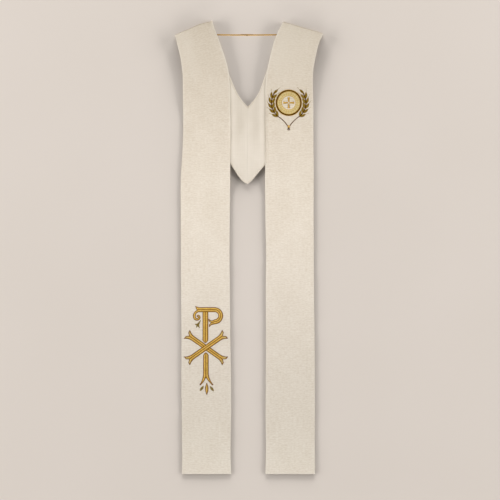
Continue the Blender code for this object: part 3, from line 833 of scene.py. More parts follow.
@dataclass
class NeckCord:
    """Thin cord of three laid strands between the neck edges, with a wound knot in the middle."""

    left_x: float = -95.9 * MM
    right_x: float = 81.2 * MM
    y: float = 609.5 * MM
    diameter: float = 4.0 * MM
    clearance: float = 0.1 * MM
    sag: float = 0.8 * MM
    strands: int = 3
    valley: float = 0.72  # radius between two strands, as a share of the cord's
    lay_length: float = 15 * MM
    knot_x: float = -5.6 * MM
    knot_length: float = 7 * MM
    knot_diameter: float = 5.6 * MM
    knot_strand: float = 0.8 * MM  # radius of what the knot is wound from
    knot_turns: int = 4
    tail_length: float = 18 * MM
    tail_diameter: float = 1.9 * MM
    tail_aside: float = 0.32  # place of a tail beside the cord's axis, in cord diameters
    tail_above: float = 0.85  # and above the cord's underside
    shoulder_shadow_reach: float = 20 * MM  # painted shadow of the shoulders darkens the cord over this length at each end

    def route(self, count: int) -> np.ndarray:
        """Points of the cord's axis.

        Args:
            count: Number of points.

        Returns:
            Points from left to right, shaped (count, 3).
        """
        share = np.linspace(0, 1, count)
        x = self.left_x + (self.right_x - self.left_x) * share
        y = self.y - self.sag * (1 - (2 * share - 1) ** 2)
        z = np.full(count, self.diameter / 2 + self.clearance)
        return np.stack((x, y, z), axis=1)

    def laid_section(self, around: np.ndarray) -> tuple[np.ndarray, np.ndarray]:
        """Section of laid strands.

        Args:
            around: Angles from the top of a strand, in radians.

        Returns:
            Height on a strand, from 0 in a valley to 1, and radius as a share of the cord's.
        """
        lobe = np.abs(np.cos(around * self.strands / 2))
        return lobe, self.valley + (1 - self.valley) * lobe ** 0.7

    def cord_mesh(self) -> Mesh:
        """Twist the laid section along the route.

        Returns:
            The cord's mesh.
        """
        axis = self.route(300)
        travelled = np.concatenate(([0], np.cumsum(np.linalg.norm(np.diff(axis, axis=0), axis=1))))[:, None]
        around = np.linspace(0, math.tau, 24, endpoint=False)
        lobe, share = self.laid_section(around[None] - travelled / self.lay_length * math.tau)
        radius = self.diameter / 2 * share
        loops = np.repeat(axis[:, None], len(around), axis=1)
        loops[..., 1] += radius * np.cos(around)
        loops[..., 2] += radius * np.sin(around)
        uv = np.stack(np.broadcast_arrays(around * self.diameter / 2, travelled), axis=2)
        to_end = np.minimum(travelled, travelled[-1] - travelled)
        # painted light and shade: lighter on the strands' crowns, darker in their valleys and in the
        # shoulders' shadow near the ends
        shoulder_shadow = 0.5 + 0.5 * smooth(to_end / self.shoulder_shadow_reach)
        return closed_mesh("neck_cord", loops, uv, smooth(lobe * 1.15) * shoulder_shadow)

    def knot_mesh(self) -> Mesh:
        """Wind a strand round the cord, with its two ends.

        Returns:
            The knot's mesh.
        """
        strand = self.knot_strand
        steps = 40 * self.knot_turns
        angle = np.linspace(0, math.tau * self.knot_turns, steps)
        reach = self.knot_diameter / 2 - strand
        run = self.knot_length - 2 * strand
        axis = np.stack((self.knot_x + run * (angle / angle[-1] - 0.5),
                         self.route(3)[1, 1] + reach * np.cos(angle),
                         self.knot_diameter / 2 + self.clearance + reach * np.sin(angle)), axis=1)
        ahead = np.gradient(axis, axis=0)
        ahead /= np.linalg.norm(ahead, axis=1)[:, None]
        outward = np.stack((angle * 0, np.cos(angle), np.sin(angle)), axis=1)
        side = np.cross(ahead, outward)
        around = np.linspace(0, math.tau, 10, endpoint=False)
        from_end = np.minimum(np.arange(steps), np.arange(steps)[::-1])
        taper = np.minimum(1, from_end / 5 + 0.25)  # the strand thins over its last five sections
        offset = outward[:, None] * np.cos(around)[:, None] + side[:, None] * np.sin(around)[:, None]
        loops = axis[:, None] + offset * (strand * taper)[:, None, None]
        uv = np.stack(np.broadcast_arrays(around * strand, (angle * reach)[:, None]), axis=2)
        # painted shade: the winding is dark, darkest on its side against the cord
        tone = np.broadcast_to(0.15 + 0.35 * np.cos(around), loops.shape[:2])
        winding = closed_mesh("winding", loops, uv, tone)
        return joined("cord_knot_winding", [winding, self.tail_mesh(-1), self.tail_mesh(1)])

    def tail_mesh(self, turn: int) -> Mesh:
        """Short end that leaves the knot and lies on the cord.

        Args:
            turn: -1 for the end that runs left, 1 for the right.

        Returns:
            Its mesh.
        """
        share = np.linspace(0, 1, 60)[:, None]
        around = np.linspace(0, math.tau, 18, endpoint=False)[None]
        turned = share * self.tail_length / (self.lay_length / 2) * math.tau
        lobe, section = self.laid_section(around - turned)
        radius = self.tail_diameter / 2 * section * np.minimum(1, (1 - share) * 9 + 0.3)
        x = self.knot_x + turn * self.tail_length * share
        y = self.route(3)[1, 1] + self.diameter * self.tail_aside + radius * np.cos(around)
        z = self.diameter * self.tail_above + self.clearance + radius * np.sin(around)
        uv = np.stack(np.broadcast_arrays(self.tail_diameter / 2 * around, self.tail_length * share), axis=2)
        loops = np.stack(np.broadcast_arrays(x, y, z), axis=2)
        # painted shade: the tails are dark, darkest in their valleys
        return closed_mesh(f"tail_{turn}", loops, uv, 0.05 + 0.35 * lobe)

    def build(self, gold: Material) -> None:
        """Args:
            gold: Finish of both.
        """
        lengths = ("neck_cord_left", "neck_cord_right")
        cord = add_piece("neck_cord", self.cord_mesh(), gold, lengths)
        knot = add_piece("cord_knot_winding", self.knot_mesh(), gold, ("cord_knot",))
        for piece in (cord, knot):
            piece.visible_shadow = False  # the soft boxes are too wide for so thin a shadow


# ---- cloth


def smooth_sections(sections: np.ndarray, step: float) -> np.ndarray:
    """Run a smooth curve through sections.

    Args:
        sections: Inner x, y and outer x, y of each section.
        step: Distance between the new sections.

    Returns:
        Close sections on the curve.
    """
    moves = np.diff(sections, axis=0)
    gaps = (np.hypot(moves[:, 0], moves[:, 1]) + np.hypot(moves[:, 2], moves[:, 3])) / 2
    slopes = moves / gaps[:, None]
    before, after = gaps[:-1, None], gaps[1:, None]
    middle = (slopes[:-1] * after + slopes[1:] * before) / (before + after)
    tangents = np.vstack((slopes[:1], middle, slopes[-1:]))
    rows = [sections[:1]]
    for k, gap in enumerate(gaps):
        t = np.linspace(0, 1, max(2, round(gap / step) + 1))[1:, None]
        rows.append(sections[k] * (1 - smooth(t)) + sections[k + 1] * smooth(t)
                    + tangents[k] * (gap * t * (1 - t) ** 2) - tangents[k + 1] * (gap * t * t * (1 - t)))
    return np.vstack(rows)


@dataclass
class Layer:
    """Middle surface of one cloth layer as rows of points, with what its walls need."""

    base: np.ndarray  # (rows, points, 3)
    normal: np.ndarray  # (rows, 3), towards the layer's face
    edge: np.ndarray  # (rows, points), distance to the nearer side edge
    across: np.ndarray  # (rows, points), signed distance from the middle
    along: np.ndarray  # (rows,), distance from the first row

    def mesh(self, name: str, face: np.ndarray, back: np.ndarray, rounding: float,
             tone: np.ndarray, seam_rounding: float | None = None) -> Mesh:
        """Give the layer its two walls and rounded edges.

        Args:
            name: Name of the mesh.
            face: Height of the face above the middle surface.
            back: Depth of the other side below it.
            rounding: Radius of the turned edges.
            tone: Painted light and shade of each point, kept as a mesh attribute of that name.
            seam_rounding: Radius at the last row, where it differs.

        Returns:
            The closed mesh.
        """
        along = self.along[:, None]
        sizes = ((self.edge, rounding), (along, rounding), (along[-1] - along, seam_rounding or rounding))
        share = math.prod(np.sqrt(1 - (1 - np.clip(d / r, 0, 1)) ** 2) for d, r in sizes)[..., None]
        normal = self.normal[:, None]
        top = self.base + normal * share * np.broadcast_to(face, self.edge.shape)[..., None]
        bottom = self.base - normal * share * np.broadcast_to(back, self.edge.shape)[..., None]

        def ring(a: np.ndarray, b: np.ndarray) -> np.ndarray:
            """Join the points of both walls into one loop for each row."""
            return np.concatenate((a, b[:, -2:0:-1]), axis=1)

        uv = np.stack(np.broadcast_arrays(self.across, along), axis=2)
        return closed_mesh(name, ring(top, bottom), ring(uv, uv), ring(tone, tone))

    def area(self) -> float:
        """Area of the middle surface.

        Returns:
            Square metres.
        """
        b = self.base
        one = np.cross(b[1:, :-1] - b[:-1, :-1], b[:-1, 1:] - b[:-1, :-1])
        other = np.cross(b[:-1, 1:] - b[1:, 1:], b[1:, :-1] - b[1:, 1:])
        return float((np.linalg.norm(one, axis=2) + np.linalg.norm(other, axis=2)).sum() / 2)


@dataclass
class Strip:
    """One side's strip of cloth, from its hem over the shoulder fold to the centre-back seam."""

    side: Side
    front: tuple[tuple[float, ...], ...]
    back: tuple[tuple[float | None, ...], ...]
    seam_x: float
    row_step: float = 4.5 * MM
    loop_steps: int = 16
    plain_columns: int = 23
    lining_columns: int = 91  # closer, for the fine shading of the back's lining
    edge_steps: tuple[float, ...] = (0.0, 0.1, 0.35, 0.7, 1.4, 2.6, 4.5, 7.0)  # mm from an edge
    turned_wall: float = 0.45 * MM  # middle layer to the turned edge beside a front's lining
    turned_edge: float = 0.3 * MM  # roundings of the band's edges and of its end at the seam
    seam_edge: float = 0.25 * MM
    lining_edge: float = 0.4 * MM  # roundings of the back's lining
    lining_seam_edge: float = 0.15 * MM
    front_lining_depth: float = 0.65 * MM  # a front's lining, below the middle layer
    front_lining_half: float = 0.15 * MM
    pressed_share: float = 0.22  # how much thinner the pressed edges are
    pressed_reach: float = 2.4 * MM
    cut_width: float = 0.142  # flat size of the strip, without its turnings
    back_lining_width: float = 190 * MM  # flat size of the back's lining at its widest
    fold_wave: tuple[tuple[float, float], ...] = ((0.0, 0.0), (1.0, 0.0))  # share from outer end, mm outward
    wave_reach: float = 42 * MM
    shoulder_highlights: tuple[tuple[float, float, float], ...] = ()  # painted highlights across a shoulder: strength, place and reach, mm
    shoulder_highlight_from: float = 440 * MM  # y where the painted shoulder highlights begin
    shoulder_highlight_fade: float = 120 * MM
    edge_highlight_from: float = 280 * MM  # y where the painted highlight of the pressed edges begins to grow
    edge_highlight_fade: float = 150 * MM
    edge_highlight_reach: float = 2.8 * MM
    hem_highlight_reach: float = 2.0 * MM
    ripple_fade: float = 60 * MM  # a front's ripple dies away over this length before the fold
    curl_rise: float = 2.1 * MM  # how far the front's neck edge stands off the back
    curl_reach: float = 13 * MM
    curl_from: float = 170 * MM  # y where the curl begins and ends
    curl_to: float = 450 * MM
    curl_fade: float = 60 * MM
    curl_edge_highlight: float = 1.0  # share of the neck edge's painted highlight that is left on the back
    crease_shadow: float = 0.3  # darkness of the painted shadow on the lining beside the front's neck edge
    crease_shadow_reach: float = 3.2 * MM

    def __post_init__(self) -> None:
        """Work out the smooth sections and the edge of the back."""
        front = np.array(self.front) * MM
        back = np.array([[self.seam_x / MM if v is None else v for v in row] for row in self.back]) * MM
        fold = front[-1]
        run = fold[2:] - fold[:2]
        outward = np.array((run[1], -run[0])) / np.hypot(*run)
        self.outward = outward if outward[1] > 0 else -outward
        self.fold = fold - np.tile(self.outward * (FOLD_RADIUS + WALL / 2), 2)
        self.turn = 1 if self.fold[0] < 0 else -1
        rows = smooth_sections(np.vstack((front[:-1], self.fold)), self.row_step)
        self.front_rows = self.with_close_ends(rows)
        back_rows = smooth_sections(np.vstack((self.fold, back)), self.row_step)
        self.back_rows = self.with_close_ends(back_rows[::-1])[::-1]
        start = self.back_rows[0, 2:] - self.back_rows[1, 2:]
        beyond = self.back_rows[0, 2:] + start / np.hypot(*start) * 3 * STEP_DOWN  # run on past the fold
        self.back_edge = np.vstack((beyond, self.back_rows[:, 2:]))

    def with_close_ends(self, rows: np.ndarray) -> np.ndarray:
        """Add close rows beside the first one, for its rounded edge.

        Args:
            rows: Sections of the strip.

        Returns:
            The sections with the close ones among them.
        """
        move = rows[1] - rows[0]
        gap = (np.hypot(*move[:2]) + np.hypot(*move[2:])) / 2
        near = [rows[0] + move * (step * MM / gap) for step in self.edge_steps[1:] if step * MM < gap * 0.8]
        return np.vstack((rows[:1], near, rows[1:]))

    def outside_back(self, plan: np.ndarray) -> np.ndarray:
        """Signed distance from the back's outer edge, positive where the floor is under the front.

        Args:
            plan: Points shaped (..., 2).

        Returns:
            Distances shaped (...).
        """
        best = np.full(plan.shape[:-1], np.inf)
        signed = np.zeros(plan.shape[:-1])
        for a, b in zip(self.back_edge, self.back_edge[1:]):
            run = b - a
            share = np.clip((plan - a) @ run / (run @ run), 0, 1)
            away = plan - (a + share[..., None] * run)
            distance = np.hypot(away[..., 0], away[..., 1])
            outside = (run[0] * away[..., 1] - run[1] * away[..., 0]) * self.turn < 0
            closer = distance < best
            signed = np.where(closer, np.where(outside, distance, -distance), signed)
            best = np.minimum(best, distance)
        return signed

    def middle_height(self, plan: np.ndarray) -> np.ndarray:
        """Height of the front's middle layer, on the back, down its edge and on the floor.

        Args:
            plan: Points shaped (..., 2).

        Returns:
            Heights shaped (...).
        """
        down = smooth((self.outside_back(plan) - STEP_MARGIN) / STEP_DOWN)
        from_fold = (self.fold[:2] - plan) @ self.outward
        roll = ROLL_RISE * (1 - smooth(from_fold / ROLL_REACH))
        return WALL / 2 + (LIFT + roll) * (1 - down)

    def waved(self, plan: np.ndarray, across: np.ndarray) -> np.ndarray:
        """Move points near the fold along with its slight wave.

        Args:
            plan: Points shaped (rows, points, 2).
            across: Signed distance of each point from the middle.

        Returns:
            The moved points.
        """
        share = (across[:, -1:] - across) / (across[:, -1:] - across[:, :1])
        shift = np.zeros(share.shape)
        for (start, low), (end, high) in zip(self.fold_wave, self.fold_wave[1:]):
            inside = (share >= start) & (share <= end)
            shift = np.where(inside, low + (high - low) * smooth((share - start) / (end - start)), shift)
        from_fold = (self.fold[:2] - plan) @ self.outward
        return plan + (shift * MM * (1 - smooth(from_fold / self.wave_reach)))[..., None] * self.outward

    def over_back(self, y: np.ndarray) -> np.ndarray:
        """Share, from 0 to 1, to which the front's neck edge lies on the back at places along the band."""
        return smooth((y - self.curl_from) / self.curl_fade) * smooth((self.curl_to - y) / self.curl_fade)

    def curl(self, y: np.ndarray, from_neck: np.ndarray | float) -> np.ndarray:
        """Rise of the front's neck edge where it lies on the back.

        Args:
            y: Place along the band.
            from_neck: Distance from the neck edge.

        Returns:
            Heights above the flat lay.
        """
        return self.curl_rise * self.over_back(y) * (1 - smooth(from_neck / self.curl_reach))

    def ripple(self, plan: np.ndarray) -> np.ndarray:
        """Slight unevenness of the laid face, as a sum of slanted waves.

        Args:
            plan: Points shaped (..., 2).

        Returns:
            Heights in metres, shaped (...).
        """
        x, y = plan[..., 0], plan[..., 1]
        # Height in mm, slant, length in metres and start in radians of each wave
        waves = ((0.075, 0.22, 0.093, 0.4), (0.065, -0.94, 0.161, 2.1), (0.05, 1.66, 0.24, 4.4),
                 (0.035, 0.62, 0.051, 1.3))
        return sum(height * MM * np.sin((y + x * slant) * math.tau / length + start + self.turn)
                   for height, slant, length, start in waves)

    def face_height(self, plan: np.ndarray) -> np.ndarray:
        """Height of the front's face, for what is sewn on it.

        Args:
            plan: Complex plan points.

        Returns:
            Heights of the same shape.
        """
        points = np.stack((plan.real, plan.imag), axis=-1)
        return self.middle_height(points) + WALL / 2 + self.ripple(points)

    def spread(self, sections: np.ndarray, inset: float,
               columns: int | None = None) -> tuple[np.ndarray, np.ndarray, np.ndarray]:
        """Points across each section, close together beside both edges.

        Args:
            sections: Sections of the strip.
            inset: Distance that the outermost points keep from the strip's edges.
            columns: Number of even points between the close ones, where it isn't the band's.

        Returns:
            Plan points, distance to the nearer edge and signed distance from the middle.
        """
        inner, outer = sections[:, :2], sections[:, 2:]
        width = np.hypot(*(outer - inner).T)[:, None]
        clear = width - 2 * inset
        near = np.array(self.edge_steps) * MM
        plain = near[-1] + (clear - 2 * near[-1]) * np.linspace(0, 1, columns or self.plain_columns)
        rows = len(sections)
        from_inner = np.concatenate((np.tile(near[:-1], (rows, 1)), plain, clear - near[-2::-1]), axis=1)
        share = ((from_inner + inset) / width)[..., None]
        plan = inner[:, None] * (1 - share) + outer[:, None] * share
        return plan, np.minimum(from_inner, clear - from_inner), from_inner + inset - width / 2

    @staticmethod
    def travelled(points: np.ndarray) -> np.ndarray:
        """Distance along the middle of rows of points."""
        middle = points[:, points.shape[1] // 2]
        return np.concatenate(([0.0], np.cumsum(np.linalg.norm(np.diff(middle, axis=0), axis=1))))

    def band_layer(self) -> tuple[Layer, int]:
        """Middle surface of the band.

        Returns:
            The layer and the number of rows of its front.
        """
        loop_angles = np.linspace(0, math.pi, self.loop_steps + 1)[1:-1]
        loop_sections = np.tile(self.fold, (len(loop_angles), 1))
        plan, edge, across = self.spread(np.vstack((self.front_rows, loop_sections, self.back_rows)), 0.0)
        fronts, loops = len(self.front_rows), len(loop_angles)
        base = np.concatenate((self.waved(plan, across), np.full(plan.shape[:2] + (1,), WALL / 2)), axis=2)
        curl = self.curl(plan[:fronts, :, 1], (across - across[:, :1])[:fronts])
        base[:fronts, :, 2] = self.middle_height(plan[:fronts]) + curl
        normal = np.tile((0.0, 0.0, 1.0), (len(base), 1))
        for k, angle in enumerate(loop_angles):
            row = fronts + k
            base[row, :, :2] += self.outward * FOLD_RADIUS * math.sin(angle)
            base[row, :, 2] = WALL / 2 + FOLD_RADIUS * (1 + math.cos(angle))
            normal[row] = (*(self.outward * math.sin(angle)), math.cos(angle))
        normal[fronts + loops:] = (0.0, 0.0, -1.0)
        return Layer(base, normal, edge, across, self.travelled(base)), fronts

    def edge_highlight(self, layer: Layer) -> np.ndarray:
        """Painted highlight along the pressed edges, across the shoulders and at both ends of the strip.

        Args:
            layer: The band.

        Returns:
            Tones from 0 to 1.
        """
        y = layer.base[..., 1]
        higher = smooth((y - self.edge_highlight_from) / self.edge_highlight_fade)
        neck_edge_highlight = (0.25 + 0.6 * higher) * (1 - (1 - self.curl_edge_highlight) * self.over_back(y))
        outer_edge_highlight = 0.1 + 0.35 * higher
        pressed = np.where(layer.across < 0, neck_edge_highlight, outer_edge_highlight) * bell(layer.edge, self.edge_highlight_reach)
        across = layer.across / MM
        shoulder_highlight = sum(strength * bell(across - place, reach) for strength, place, reach in self.shoulder_highlights)
        shoulder = smooth((y - self.shoulder_highlight_from) / self.shoulder_highlight_fade) * shoulder_highlight
        end = np.minimum(layer.along, layer.along[-1] - layer.along)[:, None]
        return np.clip(pressed + shoulder + 0.3 * bell(end, self.hem_highlight_reach), 0, 1)

    def lining_light_and_shade(self, layer: Layer) -> np.ndarray:
        """Painted light and shade on the back's lining.

        Args:
            layer: The lining.

        Returns:
            Tones from -1 to 1: paler along the seam, a painted highlight along the edges and beside the
            front, painted shade in a soft hollow beside the seam, darker towards the point, and a painted
            shadow in the crease beside the front.
        """
        x, y = layer.base[..., 0], layer.base[..., 1]
        from_seam = np.abs(x - self.seam_x)
        from_front = x - np.interp(y, self.front_rows[:, 1], self.front_rows[:, 0])
        edges = 0.12 * bell(layer.edge, 3 * MM) + 0.10 * bell(from_seam, 8 * MM)
        front_side_highlight = 0.22 * bell(from_seam - 42 * MM, 9 * MM) * smooth((y - 220 * MM) / (80 * MM))
        hollow_shade = 0.28 * bell(from_seam - 23 * MM, 13 * MM) * bell(y - 352 * MM, 48 * MM)
        low = 0.2 * (1 - smooth((y - 200 * MM) / (60 * MM)))
        # painted shadow on the lining beside the front's neck edge
        crease_shadow = self.crease_shadow * bell(from_front, self.crease_shadow_reach) * smooth((y - 240 * MM) / (100 * MM))
        return edges + front_side_highlight - hollow_shade - low - crease_shadow

    def build_band(self, cloth: Material) -> None:
        """Make the band's face cloth, front, fold and back in one.

        Args:
            cloth: Finish of the face.
        """
        layer, fronts = self.band_layer()
        rows = np.arange(len(layer.base))[:, None]
        past_fold = np.clip((rows - fronts) / self.loop_steps, 0, 1)
        pressed = 1 - self.pressed_share * np.exp(-layer.edge / self.pressed_reach)
        flat = smooth((layer.along[fronts - 1] - layer.along) / self.ripple_fade)[:, None]
        face = WALL / 2 * pressed + np.where(rows < fronts, self.ripple(layer.base[..., :2]) * flat, 0.0)
        back = self.turned_wall + (WALL / 2 - self.turned_wall) * past_fold
        name = f"{self.side.value}_band_cloth"
        mesh = layer.mesh(name, face, back, self.turned_edge, self.edge_highlight(layer), self.seam_edge)
        band = add_piece(name, mesh, cloth, (f"{self.side.value}_band",))
        length, area = float(layer.along[-1]), layer.area()
        log.info("%s band: strip %.3f m long, %.4f m2", self.side.value, length, area)

    def build_front_lining(self, satin: Material) -> None:
        """Make the lining under the front, from just above the hem to the fold.

        Args:
            satin: Finish of the lining.
        """
        plan, edge, across = self.spread(self.front_rows, LINING_INSET)
        along = self.travelled(plan)
        kept = along >= LINING_INSET + 1 * MM
        plan, edge, across, along = plan[kept], edge[kept], across[kept], along[kept]
        curl = self.curl(plan[..., 1], across - across[:, :1] + LINING_INSET)
        z = self.middle_height(plan) + curl - self.front_lining_depth
        base = np.concatenate((self.waved(plan, across), z[..., None]), axis=2)
        layer = Layer(base, np.tile((0.0, 0.0, 1.0), (len(base), 1)), edge, across, along - along[0])
        name = f"{self.side.value}_front_lining"
        half = np.array(self.front_lining_half)
        mesh = layer.mesh(name, half, half, self.front_lining_half, edge * 0)
        add_piece(name, mesh, satin)

    def build_back_lining(self, satin: Material) -> None:
        """Make the lining that shows on the back, from the fold to the centre-back seam.

        Args:
            satin: Finish of the lining.
        """
        plan, edge, across = self.spread(self.back_rows, LINING_INSET, self.lining_columns)
        height = np.full(plan.shape[:2] + (1,), WALL + SEAM_GAP + LINING_WALL / 2)
        base = np.concatenate((self.waved(plan, across), height), axis=2)
        layer = Layer(base, np.tile((0.0, 0.0, 1.0), (len(base), 1)), edge, across, self.travelled(base))
        name = f"{self.side.value}_back_lining_cloth"
        half = LINING_WALL / 2 * (1 - 0.3 * np.exp(-layer.edge / (1.5 * MM)))  # thinner at its turned edges
        mesh = layer.mesh(name, half, half, self.lining_edge, self.lining_light_and_shade(layer), self.lining_seam_edge)
        piece = add_piece(name, mesh, satin, (f"{self.side.value}_back_lining",))


# ---- embroidery


Rails = tuple[np.ndarray, np.ndarray]  # outer and inner rail of a stretch of satin stitch, complex points


@dataclass
class Needle:
    """Works satin columns and couched lines on the face of a band."""

    strip: Strip
    trees: StitchTrees
    origin: complex
    pitch: float = 0.5 * MM
    thread: float = 0.62 * MM
    slant: float = 0.3  # lean of a satin stitch, as a share of its column's width
    shortest: float = 0.5  # satin stitch that is worked, as a share of the thread
    pad_sink: float = 0.2  # top of the padding under the stitches, as a share of the thread
    pad_depth: float = 0.25 * MM  # the padding's foot, below the stitches' ends
    couched_stitch: float = 2.4 * MM
    couched_step: float = 1.3 * MM
    couched_slant: float = 0.28  # turn of each stitch from the line, in radians
    bend: float = 0.6 * MM  # between the points that a couched line bends at

    def lift(self, plan: np.ndarray, level: float) -> np.ndarray:
        """Put plan points on the cloth.

        Args:
            plan: Complex points from the motif's origin.
            level: Height above the cloth.

        Returns:
            Points shaped (..., 3).
        """
        place = plan + self.origin
        return np.stack((place.real, place.imag, self.strip.face_height(place) + level), axis=-1)

    def rungs(self, rails: list[Rails], lean: float) -> Rails:
        """Ends of the satin stitches of one column.

        Args:
            rails: Outer and inner rail of each stretch.
            lean: How far the inner ends run ahead, in metres.

        Returns:
            Outer and inner ends.
        """
        outer, inner = [], []
        for one, other in rails:
            count = max(3, math.ceil(max(line_length(one), line_length(other)) / self.pitch))
            outer.append(along_line(one, count)[:-1])
            inner.append(along_line(other, count)[:-1])
        outer.append(rails[-1][0][-1:])
        inner.append(rails[-1][1][-1:])
        a, b = np.concatenate(outer), np.concatenate(inner)
        shift = round(lean / self.pitch)  # the first and last stitches fan out
        return np.concatenate((np.repeat(a[:1], shift), a)), np.concatenate((b, np.repeat(b[-1:], shift)))

    def padding(self, ends: Rails, level: float, crown: float, share: float) -> Mesh:
        """Raised padding under one column's stitches; it lacks their shading attributes, so it takes the
        thread's dark colour as painted shade between them.

        Args:
            ends: Outer and inner ends of the stitches.
            level: Their height above the cloth.
            crown: Most that a stitch rises in its middle.
            share: Rise as a share of the stitch's length.

        Returns:
            A closed mesh.
        """
        a, b = ends
        rise = np.minimum(np.abs(b - a) * share, crown)
        steps = np.linspace(0.04, 0.96, 6)
        plan = a[:, None] * (1 - steps) + b[:, None] * steps
        arch = 1 - (2 * steps - 1) ** 2
        top = self.lift(plan, level)
        top[..., 2] += rise[:, None] * arch - self.thread * self.pad_sink
        low = self.lift(plan[:, ::-1], level - self.pad_depth)
        return closed_mesh("padding", np.concatenate((top, low), axis=1))

    def satin(self, name: str, columns: list[list[Rails]], finish: Material, slot: str,
              stands_for: tuple[str, ...] = (), level: float = 0.0, crown: float = 0.62 * MM,
              share: float = 0.16, seed: int = 1) -> None:
        """Work satin columns over padding, as one piece.

        Args:
            name: Name of the piece.
            columns: Rails of each column.
            finish: Thread.
            slot: Not used.
            stands_for: CAD nodes that the piece replaces.
            level: Height of the stitch ends above the cloth.
            crown: Most that a stitch rises in its middle.
            share: Rise as a share of the stitch's length.
            seed: Seed of the shades.
        """
        points, pads = [], []
        for rails in columns:
            widest = max(abs(one[0] - other[0]) for one, other in rails)
            outer, inner = self.rungs(rails, self.slant * widest)
            kept = np.abs(outer - inner) > self.shortest * self.thread
            outer, inner = outer[kept], inner[kept]
            points.append(np.stack((self.lift(outer, level), self.lift(inner, level)), axis=1))
            pads.append(self.padding((outer, inner), level, crown, share))
        lines = line_mesh("stitch lines", np.concatenate(points))
        stitches = self.trees.grow(self.trees.satin, lines, {
            "Thread": self.thread, "Crown": crown, "Crown Share": share, "Seed": seed, "Material": finish})
        add_piece(name, joined(name, [stitches] + pads), finish, stands_for)

    def couched(self, name: str, paths: list[np.ndarray], finish: Material, slot: str, thread: float,
                level: float, closed: bool = False, seed: int = 1, stands_for: tuple[str, ...] = ()) -> None:
        """Work lines of short overlapping stitches as one piece.

        Args:
            name: Name of the piece.
            paths: Complex plan points of each line.
            finish: Thread.
            slot: Not used.
            thread: Width of the line.
            level: Height of its middle above the cloth.
            closed: Whether each line ends where it begins.
            seed: Seed of the shades.
            stands_for: CAD nodes that the piece replaces.
        """
        lines = []
        for path in paths:
            line = np.append(path, path[0]) if closed else path
            lines.append(self.lift(along_line(line, max(4, round(line_length(line) / self.bend))), level))
        stitches = self.trees.grow(self.trees.couched, line_mesh("couching lines", lines), {
            "Thread": thread, "Stitch": self.couched_stitch, "Step": self.couched_step,
            "Slant": self.couched_slant, "Seed": seed, "Material": finish})
        add_piece(name, stitches, finish, stands_for)


@dataclass(frozen=True)
class Fork:
    """Fishtail end of a stroke."""

    tip: complex  # middle of the line through its two points
    ahead: complex
    width: float
    spread: float
    flare: float
    notch: float

    def edge(self, turn: int, share: np.ndarray) -> np.ndarray:
        """Outer edge on one side (1 for left, -1 for right) at shares of the way to the point."""
        half = self.width / 2 + (self.spread - self.width) / 2 * share ** 2.4
        return self.tip - self.ahead * self.flare * (1 - share) + turn * 1j * self.ahead * half

    def side(self, turn: int) -> np.ndarray:
        """Whole outer edge on one side, out to the point."""
        return self.edge(turn, np.linspace(0, 1, 8))

    def shaft_side(self, turn: int) -> np.ndarray:
        """Outer edge as far as the notch."""
        return self.edge(turn, np.linspace(0, 1 - self.notch / self.flare, 6))

    def shaft_middle(self) -> np.ndarray:
        """Middle line as far as the notch."""
        return np.array((self.tip - self.ahead * self.flare, self.tip - self.ahead * self.notch))

    def point(self, turn: int) -> Rails:
        """Rails of one point, past the notch."""
        return self.edge(turn, np.linspace(1 - self.notch / self.flare, 1, 6)), self.notch_edge(turn)

    def notch_edge(self, turn: int) -> np.ndarray:
        """Edge of the notch, from its bottom out to one point."""
        across, back = turn * 1j * self.ahead * self.spread, self.ahead * self.notch
        return np.array((self.tip - back, self.tip - back * 0.05 + across * 0.24, self.tip + across * 0.5))

    def outline(self) -> np.ndarray:
        """Edge of the whole end, from its right side to its left side."""
        return np.concatenate((self.side(-1), self.notch_edge(-1)[::-1],
                               self.notch_edge(1)[1:], self.side(1)[::-1]))


@dataclass
class Stroke:
    """One stroke of the chi-rho: its satin columns, its edge and the seams along its middle."""

    columns: list[list[Rails]]
    outline: np.ndarray
    veins: list[np.ndarray] = field(default_factory=list)
    points: list[list[Rails]] = field(default_factory=list)


